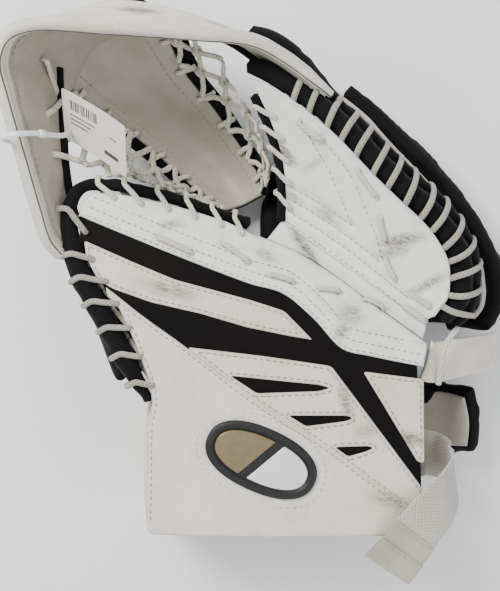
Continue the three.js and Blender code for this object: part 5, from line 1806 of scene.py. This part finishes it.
# ---- Stitching ----
lines = [on_thumb(inset_loop(fillet(shape, 3), 2.6), 0.15) for shape in (UPPER_STRIPE, SLOTTED_STRIPE, SIDE_STRIPE)]
slotted_edge = np.array(SLOTTED_STRIPE, float)
for slot in slots:
    around = outset_loop(slot, 2.4)
    keep = inside(around, slotted_edge) & (distance_to(around, slotted_edge) > 3.2)
    first = np.argmax(keep & ~np.roll(keep, 1))
    lines.append(on_thumb(np.roll(around, -first, 0)[: keep.sum()], 0.15))
place(stitches("stitching_overlays", lines, THREAD), "thumb_half", "lace")

lines = []
for gap in (2.2, 8.5, 16.5):
    row = stripe_top + unit([0.35, 1.0]) * gap
    keep = inside(row, palm_outline) & (distance_to(row, palm_outline) > 1.6)
    lines.append(on_thumb(row[keep], -0.25))
seam_row = cuff_seam - [0, 3.4]
lines.append(on_thumb(seam_row[inside(seam_row, cuff_outline)], 0.1))
left = [[-90.5, -8], [-80, -34], [-70, -61], [-67, -78], [-71, -92], [-72, -164]]
lines.append(on_thumb(resample(fillet(left, 6, closed=False), 1.0, closed=False), 0.1))
place(stitches("stitching_palm", lines, THREAD), "thumb_half", "lace")

ring = turned(oval(BADGE["length"] + 13, BADGE["width"] + 13))
ring = on_thumb(np.concatenate([ring, ring[:1]]), 0.15)
place(stitches("stitching_badge", [ring], THREAD_PALE), "thumb_half", "lace")

lines = [finger_line(pleat, -0.9) for pleat in PLEATS] + [finger_line(line, -0.3) for line in FINGER_CURVES]
place(stitches("stitching_finger", lines, THREAD), "finger_half", "lace")

tab_across = unit(TAIL_ACROSS)
lines = []
for middle in ([117.6, -174.0, 97.7], [108.6, -186.2, 98.3]):
    row = np.array(middle) + tab_across * np.linspace(-16.5, 16.5, 30)[:, None]
    lines.append((row, np.tile(unit([0.22, -0.15, 0.96]), (30, 1))))
place(stitches("stitching_tab", lines, THREAD_PALE), "strap_tail", "lace")

lines = []
for share in (EDGE_LINE, 1 - EDGE_LINE):
    along = np.linspace(0.03, 0.97, 90)
    way = normals_of(STEM, along, np.full(90, share), UPWARD)
    lines.append((STEM(along, np.full(90, share)) - way * 0.1, way))
place(stitches("stitching_stem", lines, THREAD), "pocket", "lace")

# ---- Scuffs: worn spots as [x, y, half length, half width, angle, strength] on the leather ----
SPOTS = [
    [25, 106, 14, 3.5, -0.8, 1.0], [41, 37, 19, 4, -0.96, 1.0], [73, -14, 10, 9, 0.0, 0.7], [67, -26, 7, 5, 0.8, 0.8],
    [110, 40, 16, 4.5, 0.15, 1.0], [106, 33, 11, 5, 0.2, 0.8], [132, 9, 14, 4, 0.5, 0.8],
    [117, -104, 9, 4.5, -0.3, 1.0],
    [101, -148, 14, 6, -0.3, 0.7], [-58, 4, 20, 5.5, -0.25, 0.8], [69, -77, 4.5, 12, 0.3, 0.8],
    [-79, 203, 16, 4, -0.1, 1.0],
    [-10, 190, 24, 3, -0.35, 0.8], [-58, 52, 10, 3, 0.1, 0.7], [28, 76, 13, 4, -0.5, 0.6], [58, 60, 11, 4, -0.6, 0.6],
    [-8, -100, 16, 8, 0.4, 0.35], [84, -98, 9, 5, 0.3, 0.5], [12, 30, 9, 4, -0.5, 0.7], [47, 96, 9, 3, 0.5, 0.5],
]


def scuff(*pieces):
    for piece in pieces:
        xy = (coordinates_of(piece.data) - SHIFT)[:, :2] * 1000
        worn = np.zeros(len(xy))
        for x, y, long, wide, angle, strength in SPOTS:
            d = xy - [x, y]
            a = d @ [math.cos(angle), math.sin(angle)]
            b = d @ [-math.sin(angle), math.cos(angle)]
            worn = np.maximum(worn, strength * np.exp(-((a / long) ** 2 + (b / wide) ** 2) ** 1.5))
        made = piece.data.attributes.new("scuff", "FLOAT", "POINT")
        made.data.foreach_set("value", worn.astype(np.float32))


scuff(palm_thumb, finger, upper, slotted, side_stripe, cuff, lower, higher)
for part in BAND_PARTS:
    scuff(bpy.data.objects[f"band_{part}"])

# ---- Camera, light and floor ----
camera_data = bpy.data.cameras.new("camera")
camera_data.lens = 59.2
camera_data.sensor_width = 36
camera = bpy.data.objects.new("camera", camera_data)
camera.location = metres([0, 0, 795])
bpy.context.scene.collection.objects.link(camera)
bpy.context.scene.camera = camera

low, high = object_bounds()
floor_mesh = bpy.data.meshes.new("floor")
floor_mesh.from_pydata([(-3, -3, 0), (3, -3, 0), (3, 3, 0), (-3, 3, 0)], [], [(0, 1, 2, 3)])
floor = bpy.data.objects.new("floor", floor_mesh)
floor.location.z = low.z - 0.0005
bpy.context.scene.collection.objects.link(floor)
floor_mesh.materials.append(start_material("floor", Base_Color=(0.86, 0.86, 0.85, 1), Roughness=0.9)[0])


def softbox(name, location, target, size, power, colour=(1, 1, 1)):
    data = bpy.data.lights.new(name, "AREA")
    data.shape = "RECTANGLE"
    data.size, data.size_y = size
    data.energy = power
    data.color = colour
    lamp = bpy.data.objects.new(name, data)
    lamp.location = location
    lamp.rotation_euler = (Vector(target) - Vector(location)).to_track_quat("-Z", "Y").to_euler()
    bpy.context.scene.collection.objects.link(lamp)


softbox("key", (-0.75, 0.75, 1.1), (0, 0, 0.05), (0.6, 0.6), 30, (1, 0.985, 0.96))
softbox("fill", (0.9, -0.5, 0.9), (0, 0, 0.05), (0.9, 0.9), 6, (0.97, 0.98, 1))
softbox("front", (0.0, -1.1, 0.8), (0, 0, 0.05), (0.8, 0.5), 4)
world = bpy.data.worlds.new("studio")
world.use_nodes = True
world.node_tree.nodes["Background"].inputs["Color"].default_value = (0.93, 0.95, 1, 1)
world.node_tree.nodes["Background"].inputs["Strength"].default_value = 0.85
bpy.context.scene.world = world
